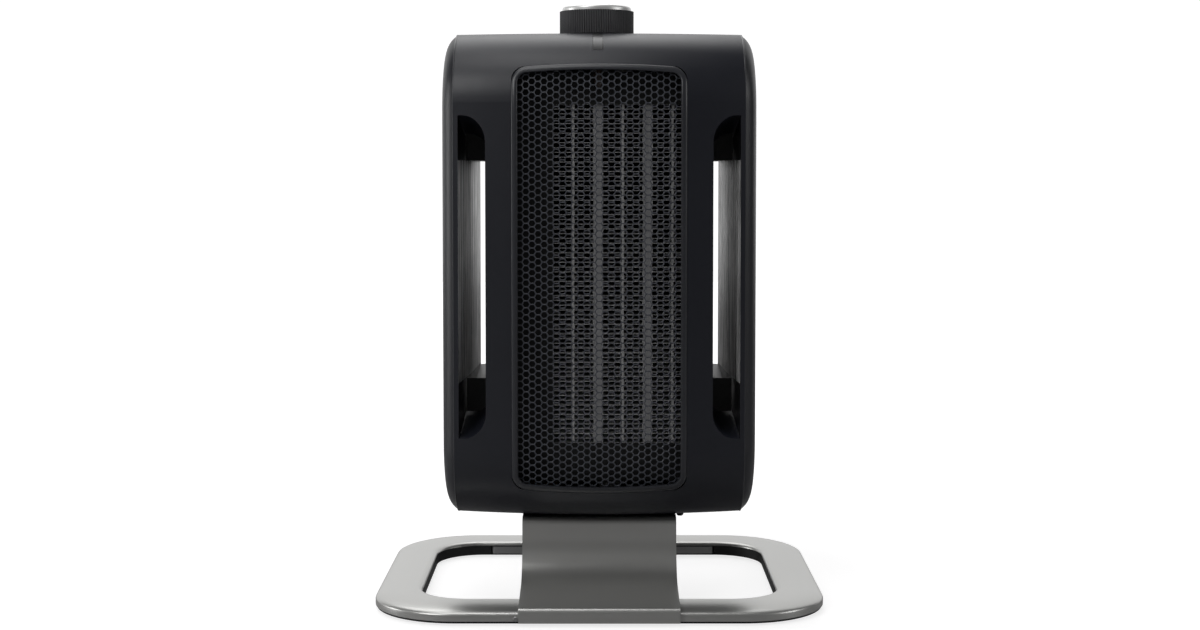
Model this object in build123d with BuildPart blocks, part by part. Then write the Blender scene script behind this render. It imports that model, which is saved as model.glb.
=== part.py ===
from build123d import *
import os
from math import cos, radians, sin, sqrt

os.makedirs("parts", exist_ok=True)

# Compact ceramic fan heater on a bent steel strap and a pressed ring base.
# Millimetres. X runs to the right, -Y to the front, Z up; the feet stand on Z = 0
# and the origin is the centre of the footprint.

# Fits
strap_fit = 0.2            # strap to base ring
flush_gap = 0.1            # between fixed mouldings whose curved faces meet
screw_clearance = 0.15     # radial, where a screw passes through a piece
running_fit = 0.05         # radial, a shaft in its bearing
push_fit = 0.02            # radial, a piece pushed on a shaft

# Base ring, skirt and feet
ring_width = 254.0
ring_depth = 207.0
ring_corner = 48.0
side_bar = 26.0
front_bar = 26.0
rear_bar = 32.0
opening_corner = 28.0
ring_top = 9.3
ring_bottom = 2.2
ring_sheet = 1.2
slope_width = 12.0
slope_drop = 2.8
inner_lip = 2.3            # height of the sheet's turned-down inner edge
inner_round = 1.5
skirt_bottom = 1.0
skirt_setback = 0.8        # outer edge of the skirt behind the sheet
skirt_wall = 3.0           # inner wall of the skirt under the turned edge
foot_diameter = 14.0
foot_height = 1.8
foot_inset_x = 30.0
foot_inset_y = 22.0
ballast_length = 142.0
ballast_depth = 8.0
ballast_height = 4.4
ballast_offset = 2.0       # its centre lies a little to the right
rivet_diameter = 2.8
rivet_head = 0.8
rivet_height = 3.6

# Strap
strap_width = 88.0
strap_sheet = 1.8
strap_riser_setback = 56.0  # front face of the riser behind the front of the base
strap_slope = 0.13
strap_lip_end = 1.6
lip_bend = 2.2
heel_bend = 24.0
neck_bend = 3.0
flange_reach = 24.0         # end of the top flange behind the housing's centre plane
gasket_sheet = 0.8
gasket_depth = 46.0
clamp_width = 76.0
clamp_depth = 44.0
clamp_sheet = 2.0
stand_screw_x = 30.0
stand_screw_y = 14.0
stand_screw_diameter = 4.0
stand_screw_head = 8.0
stand_screw_head_height = 2.4
stand_screw_tip = 2.5       # above the clamp plate
base_screw_x = 25.0
base_screw_diameter = 3.6
base_screw_head = 7.0
base_screw_head_height = 2.0
base_screw_bite = 1.1       # into the strap

# Housing
body_setback = 90.0         # centre plane of the housing behind the front of the base
body_bottom = 49.5
body_height = 275.0
body_depth = 130.0
body_corner = 40.0
shell_half_width = 81.0
bow_radius = 320.0          # plan radius of the bowed front and rear
bow_swing = 22.0            # degrees of the bow on each side of the middle, past the cut sides
wall = 2.5
cover_dome = 8.5
cover_fade = 28.0           # width of the cover's rounded margin
cover_profile = ((0.0, 0.0), (0.16, 0.55), (0.45, 0.84), (1.0, 1.0))    # share of margin, share of dome
cover_corner_share = 0.35   # of the margin that the corners take up towards the dome
cover_wall = 2.2
cover_edge_gap = 0.6        # groove between the cover and the shells
bumper_x = 46.6
bumper_setback = 22.0
bumper_diameter = 4.0
bumper_height = 1.8

# Hand slots: half a slot on each side of the parting plane
slot_face = 57.0            # plane of the slot mouths from the parting plane
slot_overrun = 14.0
slot_front = (63.1, 78.6, 96.7, 277.9, 15.0)    # inner x, outer x, low z, high z, corner
slot_middle = (62.0, 75.0, 116.0, 258.0, 10.0)
slot_rear = (60.5, 73.2, 127.0, 252.0, 8.0)

# Front grille
grille_width = 90.3
grille_low = 70.5
grille_high = 302.3
grille_arch = 2.0           # rise of the top edge and fall of the bottom edge
grille_corner = 4.4
bezel_width = 3.35
bezel_proud = 0.8
bezel_depth = 4.2
bezel_flange = 2.4
mesh_depth = 2.6
mesh_sheet = 1.0
mesh_margin = 1.5
mesh_pitch = 11.4
mesh_hole = 10.0            # across the flats

# Rear intake
intake_width = 92.0
intake_low = 110.0
intake_high = 270.0
intake_corner = 6.0
intake_flange = 2.4
intake_flange_sheet = 1.4
intake_rows = 20
intake_columns = 3
intake_slot_length = 25.0
intake_slot_height = 3.8
gland_height = 98.5
gland_body = 12.0
gland_flange = 17.0
gland_flange_sheet = 2.0
gland_nut_sheet = 2.5
gland_bore = 7.0

# Posts inside the shells
shell_post_x = 66.0
shell_post_low = 74.0
shell_post_high = 300.0
shell_post_diameter = 8.5
shell_screw_diameter = 3.6
shell_screw_head = 6.4
shell_screw_head_height = 2.6
shell_screw_floor = 4.0     # post material under the head
shell_screw_length = 18.0
frame_post_x = 56.0
frame_post_low = 76.0
frame_post_high = 297.0
frame_post_diameter = 7.0
frame_screw_diameter = 3.0
frame_screw_head = 5.6
frame_screw_head_height = 2.0
frame_screw_length = 12.0

# Heating element and its frame
element_x = 13.3
element_pitch = 28.1
element_front = 36.0        # ahead of the parting plane
element_depth = 14.0
element_low = 89.0
element_high = 287.0
rod_thickness = 5.0
electrode_thickness = 1.0
fin_sheet = 0.5
fin_folds = 20
tab_length = 6.0
tab_reach = 5.0
tab_sheet = 0.8
frame_lip = 3.0
frame_lip_sheet = 2.0
frame_wall = 2.5
frame_plate = 3.0
frame_back = 20.0
frame_half_width = 59.3
frame_low = 71.0
frame_high = 302.0
cutout_diameter = 14.0
cutout_height = 8.0
cutout_rise = 9.5           # centre above the element
cutout_x = 13.3

# Cross-flow fan
fan_x = 6.0
fan_behind = 20.0           # fan axis behind the parting plane
impeller_radius = 28.0
blade_depth = 6.0
blade_sheet = 0.9
blade_sag = 1.3
blade_count = 24
impeller_low = 94.0
impeller_length = 180.0
impeller_disc = 2.5
impeller_hub = 14.0
impeller_hub_height = 10.0
impeller_pin_length = 16.0
shaft_diameter = 5.0
scroll_sheet = 2.0
scroll_floor = 88.0
scroll_roof = 288.0
scroll_rear = 54.0
scroll_tongue_gap = 3.0
scroll_throat = 4.0
scroll_mouth = 13.0
scroll_turns = (80.0, 32.0, -15.0)    # degrees round the fan at the throat, middle and mouth
tongue_turn = 200.0
bush_diameter = 10.0
bush_flange = 14.0
bush_flange_sheet = 1.5

# Shaded-pole motor under the fan
stator_height = 18.0
stator_depth = 46.0
stator_right = 26.0         # stator edge to the right of the shaft
stator_left = 44.0
stator_drop = 6.0           # stator top below the scroll's floor
stator_leg = 8.0
stator_window = 16.0
stator_window_depth = 28.0
stator_round = 2.0
air_gap = 0.6
rotor_diameter = 25.0
rotor_height = 20.0
coil_wrap = 5.0
coil_depth = 24.0
bridge_width = 12.0
bridge_sheet = 2.0
bridge_leg = 5.0
bridge_rise = 3.0
motor_boss_diameter = 7.0
motor_screw_diameter = 3.0
motor_screw_head = 5.6
motor_screw_head_height = 2.0
motor_screw_bite = 4.0
shaft_low_end = 1.5         # shaft below the lower bridge

# Control knob, selector switch and pilot lens
knob_x = -1.5
knob_diameter = 43.0
knob_height = 13.4
knob_clearance = 0.8        # above the housing
knob_wall = 2.4
knob_top_sheet = 2.5
knob_rib_depth = 0.45
knob_rib_width = 1.4
knob_ribs = 44
knob_hub = 13.0
cap_diameter = 40.0
cap_rise = 2.9
cap_seat = 0.8
cap_round = 1.6
switch_width = 26.0
switch_height = 18.0
switch_round = 2.0
neck_diameter = 9.5
neck_height = 6.0
nut_flats = 14.0
nut_height = 2.2
knob_shaft_diameter = 6.0
knob_shaft_flat = 1.2
knob_shaft_depth = 10.0     # below the top of the switch body
knob_shaft_top = 11.5       # above the top of the housing
lens_x = -0.8
lens_width = 5.4
lens_low = 313.6
lens_back = 18.0            # rear end ahead of the parting plane
lens_fit = 0.15
light_pipe_width = 3.6
light_pipe_depth = 5.0
light_pipe_behind_front = 21.0
lamp_top = 305.0
lamp_diameter = 5.0
lamp_length = 12.0

# Tilt switch and terminals on the housing floor
tilt_x = 48.0
tilt_width = 16.0
tilt_depth = 24.0
tilt_height = 22.0
tilt_wall = 1.6
tilt_pin_diameter = 2.0
tilt_pin_drop = 4.0
tilt_arm = 2.4
tilt_weight_diameter = 8.0
tilt_weight_drop = 12.0
tilt_side_gap = 0.3
terminal_x = -58.0
terminal_width = 18.0
terminal_depth = 34.0
terminal_height = 13.0
terminal_ways = 4
terminal_well = 5.0

# Places worked out from the sizes above
base_front = -(ring_depth + strap_sheet + strap_fit) / 2
ring_y = (strap_sheet + strap_fit) / 2
ring_front = ring_y - ring_depth / 2
ring_rear = ring_y + ring_depth / 2
opening_width = ring_width - 2 * side_bar
opening_depth = ring_depth - front_bar - rear_bar
opening_y = ring_front + front_bar + opening_depth / 2
opening_rear = ring_rear - rear_bar
body_y = base_front + body_setback
body_top = body_bottom + body_height
body_mid = body_bottom + body_height / 2
floor_top = body_bottom + wall
roof_under = body_top - wall
parting = Plane.XZ.offset(-body_y)
front_y = body_y - body_depth / 2
rear_y = body_y + body_depth / 2
fan_y = body_y + fan_behind
element_y = body_y - element_front
element_half = element_pitch + electrode_thickness / 2 \
    + (element_pitch - rod_thickness - electrode_thickness) / 2
fin_width = (element_pitch - rod_thickness - electrode_thickness) / 2
frame_front = element_y - frame_lip_sheet


def disc(x, y, low, high, diameter):
    """Upright cylinder between two heights."""
    with BuildPart() as piece:
        with BuildSketch(Plane.XY.offset(low)):
            with Locations((x, y)):
                Circle(diameter / 2)
        extrude(amount=high - low)
    return piece.part


def rod_along_y(x, z, start, end, diameter):
    """Cylinder along Y between two values of Y."""
    with BuildPart() as piece:
        with BuildSketch(Plane.XZ.offset(-end)):
            with Locations((x, z)):
                Circle(diameter / 2)
        extrude(amount=end - start)
    return piece.part


def block(x_range, y_range, z_range):
    """Rectangular block between pairs of coordinates."""
    with BuildPart() as piece:
        with BuildSketch(Plane.XY.offset(z_range[0])):
            with Locations(((x_range[0] + x_range[1]) / 2, (y_range[0] + y_range[1]) / 2)):
                Rectangle(x_range[1] - x_range[0], y_range[1] - y_range[0])
        extrude(amount=z_range[1] - z_range[0])
    return piece.part


def bowed_half(inset, side):
    """Front half of the housing's form, `inset` inside its skin and cut at x = +-side."""
    across, ahead = sin(radians(bow_swing)), cos(radians(bow_swing))
    radius = bow_radius - inset
    back = bow_radius - body_depth / 2 - body_corner / 2
    start = Plane(
        origin=(0, front_y + bow_radius, 0),
        x_dir=(-across, -ahead, 0),
        z_dir=(-ahead, across, 0),
    )
    with BuildPart() as half:
        with BuildSketch(start):
            with BuildLine():
                FilletPolyline(
                    (back, body_bottom + inset),
                    (radius, body_bottom + inset),
                    (radius, body_top - inset),
                    (back, body_top - inset),
                    radius=body_corner - inset,
                )
                Line((back, body_top - inset), (back, body_bottom + inset))
            make_face()
        revolve(axis=Axis((0, front_y + bow_radius, 0), (0, 0, 1)), revolution_arc=2 * bow_swing)
        with Locations((0, body_y - body_depth, body_mid)):
            Box(2 * side, 2 * body_depth, 2 * body_height, mode=Mode.INTERSECT)
    return half.part


def grip_slot(side, grow):
    """Hand slot through the housing on one side, `grow` larger all round."""
    stations = (
        (-slot_face - slot_overrun, slot_front),
        (-slot_face, slot_front),
        (0, slot_middle),
        (slot_face, slot_rear),
        (slot_face + slot_overrun, slot_rear),
    )
    with BuildPart() as slot:
        for behind, (inner, outer, low, high, corner) in stations:
            with BuildSketch(Plane.XZ.offset(-body_y - behind)) as section:
                with Locations((side * (inner + outer) / 2, (low + high) / 2)):
                    Rectangle(outer - inner + 2 * grow, high - low + 2 * grow)
                inner_corners = section.vertices().group_by(Axis.X)[0 if side > 0 else -1]
                fillet(inner_corners, radius=corner + grow / 2)
        loft(ruled=True)
    return slot.part


def grille_prism(grow, corner):
    """Prism of the grille's outline, `grow` larger all round, from the parting plane forwards."""
    half = grille_width / 2 + grow
    high = grille_high + grow
    low = grille_low - grow
    with BuildPart() as prism:
        with BuildSketch(parting) as outline:
            with BuildLine():
                ThreePointArc((-half, high - grille_arch), (0, high), (half, high - grille_arch))
                Line((half, high - grille_arch), (half, low + grille_arch))
                ThreePointArc((half, low + grille_arch), (0, low), (-half, low + grille_arch))
                Line((-half, low + grille_arch), (-half, high - grille_arch))
            make_face()
            fillet(outline.vertices(), radius=corner)
        extrude(amount=body_depth)
    return prism.part


def intake_prism(grow):
    """Prism of the rear intake's outline, `grow` larger all round, from the parting plane back."""
    with BuildPart() as prism:
        with BuildSketch(parting):
            with Locations((0, (intake_low + intake_high) / 2)):
                RectangleRounded(intake_width + 2 * grow, intake_high - intake_low + 2 * grow, intake_corner)
        extrude(amount=-body_depth)
    return prism.part


def ring_blank(inset, top, bottom):
    """Base ring with its sloped outer margin, `inset` inside the sheet's outer faces."""
    with BuildPart() as blank:
        with BuildSketch(Plane.XY.offset(bottom)):
            with Locations((0, ring_y)):
                RectangleRounded(ring_width - 2 * inset, ring_depth - 2 * inset, ring_corner - inset)
            with Locations((0, opening_y)):
                RectangleRounded(
                    opening_width + 2 * inset, opening_depth + 2 * inset, opening_corner + inset,
                    mode=Mode.SUBTRACT,
                )
        extrude(amount=top - bottom)
        crown = blank.faces().sort_by(Axis.Z)[-1]
        chamfer(crown.outer_wire().edges(), length=slope_width, length2=slope_drop, reference=crown)
        crown = blank.faces().sort_by(Axis.Z)[-1]
        fillet(crown.inner_wires()[0].edges(), radius=inner_round)
    return blank.part


def ring_band(outer_inset, opening_inset, low, high):
    """Flat ring between the base's outline and its opening, each moved into the ring."""
    with BuildPart() as band:
        with BuildSketch(Plane.XY.offset(low)):
            with Locations((0, ring_y)):
                RectangleRounded(ring_width - 2 * outer_inset, ring_depth - 2 * outer_inset,
                                 ring_corner - outer_inset)
            with Locations((0, opening_y)):
                RectangleRounded(opening_width + 2 * opening_inset, opening_depth + 2 * opening_inset,
                                 opening_corner + opening_inset, mode=Mode.SUBTRACT)
        extrude(amount=high - low)
    return band.part


def opening_band(inner_inset, outer_inset, low, high):
    """Narrow ring that follows the edge of the base's opening."""
    with BuildPart() as band:
        with BuildSketch(Plane.XY.offset(low)):
            with Locations((0, opening_y)):
                RectangleRounded(opening_width + 2 * outer_inset, opening_depth + 2 * outer_inset,
                                 opening_corner + outer_inset)
                RectangleRounded(opening_width + 2 * inner_inset, opening_depth + 2 * inner_inset,
                                 opening_corner + inner_inset, mode=Mode.SUBTRACT)
        extrude(amount=high - low)
    return band.part


def screw(axis_plane, shank, length, head, head_height):
    """Pan-head screw with its seat on the plane and its shank along the plane's normal."""
    with BuildPart() as piece:
        with BuildSketch(axis_plane):
            Circle(shank / 2)
        extrude(amount=length)
        with BuildSketch(axis_plane):
            Circle(head / 2)
        extrude(amount=-head_height)
        chamfer(piece.faces().sort_by(Axis(axis_plane.origin, axis_plane.z_dir))[0].edges(),
                length=head_height / 3)
    return piece.part


# Base: pressed sheet ring, moulded skirt under it, ballast bar and feet
outer_sheet = ring_blank(0, ring_top, ring_bottom)
under_sheet = ring_blank(ring_sheet, ring_top - ring_sheet, ring_bottom)
turned_edge_end = ring_top - inner_lip
below_lip = opening_band(-ring_sheet, ring_sheet, ring_bottom, turned_edge_end)
base_screw_y = ring_front + front_bar / 2
base_screw_spots = [(side * base_screw_x, base_screw_y) for side in (-1, 1)]
strap_top_at_front = ring_top + strap_fit + strap_sheet * sqrt(1 + strap_slope ** 2) \
    - strap_slope * (ring_front + slope_width - base_front)
strap_top_at_screw = strap_top_at_front + strap_slope * (base_screw_y - base_front)
base_screw_tip = strap_top_at_screw - strap_sheet + base_screw_bite
base_screw_seat = skirt_bottom + base_screw_head_height
screw_holes = [disc(x, y, 0, base_screw_tip + flush_gap, base_screw_diameter + 2 * screw_clearance)
               for x, y in base_screw_spots]

rivet_x = -strap_width / 2 - rivet_diameter / 2 - flush_gap
rivet_plane = Plane(origin=(rivet_x, ring_front, rivet_height), z_dir=(0, 1, 0))
rivet_solid = screw(rivet_plane, rivet_diameter / 2, ring_sheet / 2, rivet_diameter, rivet_head)
rivet_hole = rod_along_y(rivet_x, rivet_height, ring_front, ring_front + ring_sheet / 2 + push_fit,
                         rivet_diameter / 2 + 2 * push_fit)

with BuildPart() as base_ring:
    add(outer_sheet)
    add(under_sheet, mode=Mode.SUBTRACT)
    add(below_lip, mode=Mode.SUBTRACT)
    add(screw_holes, mode=Mode.SUBTRACT)
    add(rivet_hole, mode=Mode.SUBTRACT)

skirt_core = ring_blank(ring_sheet + flush_gap, ring_top - ring_sheet - flush_gap, skirt_bottom)
skirt_flange = ring_band(skirt_setback, flush_gap, skirt_bottom, ring_bottom)
skirt_inner = opening_band(flush_gap, skirt_wall, skirt_bottom, turned_edge_end - flush_gap)
ballast_low = (skirt_bottom + turned_edge_end - ballast_height) / 2
ballast_x = (ballast_offset - ballast_length / 2, ballast_offset + ballast_length / 2)
ballast_y = (opening_rear, opening_rear + ballast_depth)
foot_spots = [
    (side * (ring_width / 2 - foot_inset_x), end)
    for side in (-1, 1)
    for end in (ring_front + foot_inset_y, ring_rear - foot_inset_y)
]
ballast_space = block(
    (ballast_x[0] - flush_gap, ballast_x[1] + flush_gap),
    (ballast_y[0] - skirt_wall, ballast_y[1] + flush_gap),
    (ballast_low - flush_gap, ballast_low + ballast_height + flush_gap),
)
foot_recess = [disc(x, y, 0, foot_height, foot_diameter + 2 * flush_gap) for x, y in foot_spots]
head_recess = [disc(x, y, 0, base_screw_seat, base_screw_head + 2 * screw_clearance)
               for x, y in base_screw_spots]

with BuildPart() as base_skirt:
    add(skirt_core)
    add(skirt_flange)
    add(skirt_inner)
    add(ballast_space, mode=Mode.SUBTRACT)
    add(foot_recess, mode=Mode.SUBTRACT)
    add(head_recess, mode=Mode.SUBTRACT)
    add(screw_holes, mode=Mode.SUBTRACT)

ballast_blank = block(ballast_x, ballast_y, (ballast_low, ballast_low + ballast_height))
with BuildPart() as ballast_bar:
    add(ballast_blank)
    fillet(ballast_bar.edges().filter_by(Axis.Z), radius=ballast_height / 2)

with BuildPart() as rubber_feet:
    with BuildSketch():
        with Locations(*foot_spots):
            Circle(foot_diameter / 2)
    extrude(amount=foot_height)
    chamfer(rubber_feet.edges().group_by(Axis.Z)[0], length=foot_height / 4)

base_screw_solids = [
    screw(Plane((x, y, base_screw_seat)), base_screw_diameter, base_screw_tip - base_screw_seat,
          base_screw_head, base_screw_head_height - flush_gap)
    for x, y in base_screw_spots
]
with BuildPart() as base_screws:
    add(base_screw_solids)

# Strap: flange under the housing, riser, long heel bend and a lip over the front of the ring
lip_line = base_front + strap_sheet / 2
riser_line = base_front + strap_riser_setback + strap_sheet / 2
slope_line = strap_top_at_front - strap_sheet / 2 * sqrt(1 + strap_slope ** 2)
flange_line = body_bottom - gasket_sheet - strap_sheet / 2
stand_screw_seat = body_bottom - gasket_sheet - strap_sheet
stand_spots = [
    (side * stand_screw_x, body_y + end * stand_screw_y) for side in (-1, 1) for end in (-1, 1)
]
stand_holes = [
    disc(x, y, stand_screw_seat - strap_sheet, floor_top + clamp_sheet + strap_sheet,
         stand_screw_diameter + 2 * screw_clearance)
    for x, y in stand_spots
]
with BuildPart() as stand_strap:
    with BuildSketch(Plane.YZ):
        with BuildLine() as strap_line:
            FilletPolyline(
                (lip_line, strap_lip_end),
                (lip_line, slope_line + strap_slope * strap_sheet / 2),
                (riser_line, slope_line + strap_slope * (riser_line - base_front)),
                (riser_line, flange_line),
                (body_y + flange_reach, flange_line),
                radius=[lip_bend, heel_bend, neck_bend],
            )
        trace(line_width=strap_sheet)
    extrude(amount=strap_width / 2, both=True)
    add(stand_holes, mode=Mode.SUBTRACT)
    add(screw_holes, mode=Mode.SUBTRACT)

gasket_blank = block(
    (-strap_width / 2, strap_width / 2),
    (body_y - gasket_depth / 2, body_y + gasket_depth / 2),
    (body_bottom - gasket_sheet, body_bottom),
)
with BuildPart() as strap_gasket:
    add(gasket_blank)
    add(stand_holes, mode=Mode.SUBTRACT)

clamp_blank = block(
    (-clamp_width / 2, clamp_width / 2),
    (body_y - clamp_depth / 2, body_y + clamp_depth / 2),
    (floor_top, floor_top + clamp_sheet),
)
with BuildPart() as clamp_plate:
    add(clamp_blank)
    fillet(clamp_plate.edges().filter_by(Axis.Z), radius=clamp_sheet * 2)
    add(stand_holes, mode=Mode.SUBTRACT)

stand_screw_length = floor_top + clamp_sheet + stand_screw_tip - stand_screw_seat
stand_screw_solids = [
    screw(Plane((x, y, stand_screw_seat)), stand_screw_diameter, stand_screw_length,
          stand_screw_head, stand_screw_head_height)
    for x, y in stand_spots
]
with BuildPart() as stand_screws:
    add(stand_screw_solids)

# Housing: two bowed shells, each with its half of the hand slots and four screw posts
front_outer = bowed_half(0, shell_half_width)
front_cavity = bowed_half(wall, shell_half_width - wall)
rear_outer = front_outer.mirror(parting)
rear_cavity = front_cavity.mirror(parting)
slots = [grip_slot(side, 0) for side in (-1, 1)]
slot_casings = [grip_slot(side, wall) for side in (-1, 1)]
post_spots = [(side * shell_post_x, z) for side in (-1, 1) for z in (shell_post_low, shell_post_high)]
frame_spots = [(side * frame_post_x, z) for side in (-1, 1) for z in (frame_post_low, frame_post_high)]
shell_screw_seat = body_y + shell_screw_floor
shell_screw_tip = shell_screw_seat - shell_screw_length
frame_screw_tip = frame_front + frame_plate - frame_screw_length
bore_end = flush_gap * 2

switch_top = roof_under
switch_x = (knob_x - switch_width / 2, knob_x + switch_width / 2)
neck_hole = disc(knob_x, body_y, roof_under - wall, body_top + wall, neck_diameter + 2 * flush_gap)
lens_y = (front_y - body_corner, body_y - lens_back)


def lens_block(grow):
    """Strip of the housing's top front edge that the pilot lens fills."""
    return block(
        (lens_x - lens_width / 2 - grow, lens_x + lens_width / 2 + grow),
        (lens_y[0], lens_y[1] + grow),
        (lens_low - grow, body_top + wall),
    )


front_posts = [rod_along_y(x, z, front_y, body_y, shell_post_diameter) for x, z in post_spots]
front_post_bores = [rod_along_y(x, z, shell_screw_tip - bore_end, body_y, shell_screw_diameter)
                    for x, z in post_spots]
frame_posts = [rod_along_y(x, z, front_y, frame_front, frame_post_diameter) for x, z in frame_spots]
frame_post_bores = [rod_along_y(x, z, frame_screw_tip - bore_end, frame_front, frame_screw_diameter)
                    for x, z in frame_spots]

with BuildPart() as front_posts_trimmed:
    add(front_posts)
    add(frame_posts)
    add(bowed_half(wall / 2, shell_half_width), mode=Mode.INTERSECT)

with BuildPart() as front_hollow:
    add(front_cavity)
    add(slot_casings, mode=Mode.SUBTRACT)

with BuildPart() as front_shell:
    add(front_outer)
    add(front_hollow.part, mode=Mode.SUBTRACT)
    add(slots, mode=Mode.SUBTRACT)
    add(front_posts_trimmed.part)
    add(front_post_bores, mode=Mode.SUBTRACT)
    add(frame_post_bores, mode=Mode.SUBTRACT)
    add(grille_prism(bezel_width + flush_gap, grille_corner + bezel_width), mode=Mode.SUBTRACT)
    add(neck_hole, mode=Mode.SUBTRACT)
    add(lens_block(lens_fit), mode=Mode.SUBTRACT)
    add(stand_holes, mode=Mode.SUBTRACT)

rear_posts = [rod_along_y(x, z, body_y, rear_y, shell_post_diameter) for x, z in post_spots]
rear_post_bores = [rod_along_y(x, z, body_y, rear_y, shell_screw_diameter + 2 * screw_clearance)
                   for x, z in post_spots]
head_wells = [rod_along_y(x, z, shell_screw_seat, rear_y, shell_screw_head + 2 * screw_clearance)
              for x, z in post_spots]
gland_hole = rod_along_y(0, gland_height, body_y, rear_y, gland_body + 2 * flush_gap)

with BuildPart() as rear_posts_trimmed:
    add(rear_posts)
    add(bowed_half(wall / 2, shell_half_width).mirror(parting), mode=Mode.INTERSECT)

with BuildPart() as rear_hollow:
    add(rear_cavity)
    add(slot_casings, mode=Mode.SUBTRACT)

with BuildPart() as rear_shell:
    add(rear_outer)
    add(rear_hollow.part, mode=Mode.SUBTRACT)
    add(slots, mode=Mode.SUBTRACT)
    add(rear_posts_trimmed.part)
    add(rear_post_bores, mode=Mode.SUBTRACT)
    add(head_wells, mode=Mode.SUBTRACT)
    add(intake_prism(flush_gap), mode=Mode.SUBTRACT)
    add(gland_hole, mode=Mode.SUBTRACT)
    add(neck_hole, mode=Mode.SUBTRACT)
    add(stand_holes, mode=Mode.SUBTRACT)

shell_screw_solids = [
    screw(Plane(origin=(x, shell_screw_seat, z), z_dir=(0, -1, 0)), shell_screw_diameter - 2 * push_fit,
          shell_screw_length, shell_screw_head, shell_screw_head_height)
    for x, z in post_spots
]
with BuildPart() as shell_screws:
    add(shell_screw_solids)


def domed_cover(side, inset, rise_inset):
    """Pillow-shaped side cover on the shells' side plane."""
    depth = body_depth - 2 * (bow_radius - sqrt(bow_radius ** 2 - shell_half_width ** 2))
    fade = cover_fade - inset
    dome = cover_dome - rise_inset
    with BuildPart() as cover:
        for across, up in cover_profile:
            margin = inset + cover_edge_gap + fade * across
            with BuildSketch(Plane.YZ.offset(side * (shell_half_width + dome * up))):
                with Locations((body_y, body_mid)):
                    RectangleRounded(depth - 2 * margin, body_height - 2 * margin,
                                     body_corner - margin + fade * across * cover_corner_share)
        loft()
    return cover.part


with BuildPart() as left_side_cover:
    add(domed_cover(-1, 0, 0))
    add(domed_cover(-1, cover_wall, cover_wall), mode=Mode.SUBTRACT)

with BuildPart() as right_side_cover:
    add(domed_cover(1, 0, 0))
    add(domed_cover(1, cover_wall, cover_wall), mode=Mode.SUBTRACT)

bumper_y = body_y - bumper_setback
with BuildPart() as underside_bumper:
    with BuildSketch(Plane.XY.offset(body_bottom)):
        with Locations((bumper_x, bumper_y)):
            Circle(bumper_diameter / 2)
    extrude(amount=-bumper_height)
    chamfer(underside_bumper.faces().sort_by(Axis.Z)[0].edges(), length=bumper_height / 3)

# Front grille: bezel with a lip and a rear flange, and the honeycomb sheet in its rebate
ring_prism = grille_prism(bezel_width, grille_corner + bezel_width)
clear_prism = grille_prism(0, grille_corner)
seat_prism = grille_prism(mesh_margin + flush_gap, grille_corner + mesh_margin)
flange_prism = grille_prism(bezel_width + bezel_flange, grille_corner + bezel_width)
skin_proud = bowed_half(-bezel_proud, shell_half_width)
under_wall = bowed_half(wall + flush_gap, shell_half_width)
bezel_rear = bowed_half(bezel_depth, shell_half_width)
mesh_front = bowed_half(mesh_depth, shell_half_width)
mesh_rear = bowed_half(mesh_depth + mesh_sheet, shell_half_width)
rebate_front = bowed_half(mesh_depth - flush_gap / 2, shell_half_width)

with BuildPart() as bezel_band:
    add(ring_prism)
    add(skin_proud, mode=Mode.INTERSECT)

with BuildPart() as bezel_lug:
    add(flange_prism)
    add(under_wall, mode=Mode.INTERSECT)

with BuildPart() as bezel_rebate:
    add(seat_prism)
    add(rebate_front, mode=Mode.INTERSECT)

with BuildPart() as grille_bezel:
    add(bezel_band.part)
    add(bezel_lug.part)
    add(bezel_rear, mode=Mode.SUBTRACT)
    add(clear_prism, mode=Mode.SUBTRACT)
    add(bezel_rebate.part, mode=Mode.SUBTRACT)

column_step = mesh_pitch * sqrt(3) / 2
grille_middle = (grille_low + grille_high) / 2
half_columns = int((grille_width / 2 - mesh_hole * 0.6) / column_step)
mesh_spots = []
for column in range(-half_columns, half_columns + 1):
    shift = mesh_pitch / 2 if column % 2 else 0
    rows = int(((grille_high - grille_low) / 2 - grille_arch - mesh_hole * 0.55 - shift) / mesh_pitch)
    low_rows = rows + (1 if column % 2 else 0)
    mesh_spots += [(column * column_step, grille_middle + shift + row * mesh_pitch)
                   for row in range(-low_rows, rows + 1)]

with BuildPart() as grille_mesh:
    add(grille_prism(mesh_margin, grille_corner + mesh_margin))
    with BuildSketch(parting):
        with Locations(*mesh_spots):
            RegularPolygon(radius=mesh_hole / sqrt(3), side_count=6)
    extrude(amount=body_depth, mode=Mode.SUBTRACT)
    add(mesh_front, mode=Mode.INTERSECT)
    add(mesh_rear, mode=Mode.SUBTRACT)

# Rear intake: slatted panel with a flange behind the wall
rear_under_wall = under_wall.mirror(parting)
rear_flange_back = bowed_half(wall + flush_gap + intake_flange_sheet, shell_half_width).mirror(parting)
with BuildPart() as intake_lug:
    add(intake_prism(intake_flange))
    add(rear_under_wall, mode=Mode.INTERSECT)
    add(rear_flange_back, mode=Mode.SUBTRACT)
    add(intake_prism(-intake_flange), mode=Mode.SUBTRACT)

intake_row_step = (intake_high - intake_low - 2 * intake_corner) / intake_rows
intake_column_step = (intake_width - 2 * intake_flange) / intake_columns
with BuildPart() as intake_grille:
    add(intake_prism(0))
    with BuildSketch(parting):
        with Locations((0, (intake_low + intake_high) / 2)):
            with GridLocations(intake_column_step, intake_row_step, intake_columns, intake_rows):
                Rectangle(intake_slot_length, intake_slot_height)
    extrude(amount=-body_depth, mode=Mode.SUBTRACT)
    add(rear_outer, mode=Mode.INTERSECT)
    add(rear_under_wall, mode=Mode.SUBTRACT)
    add(intake_lug.part)

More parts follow.
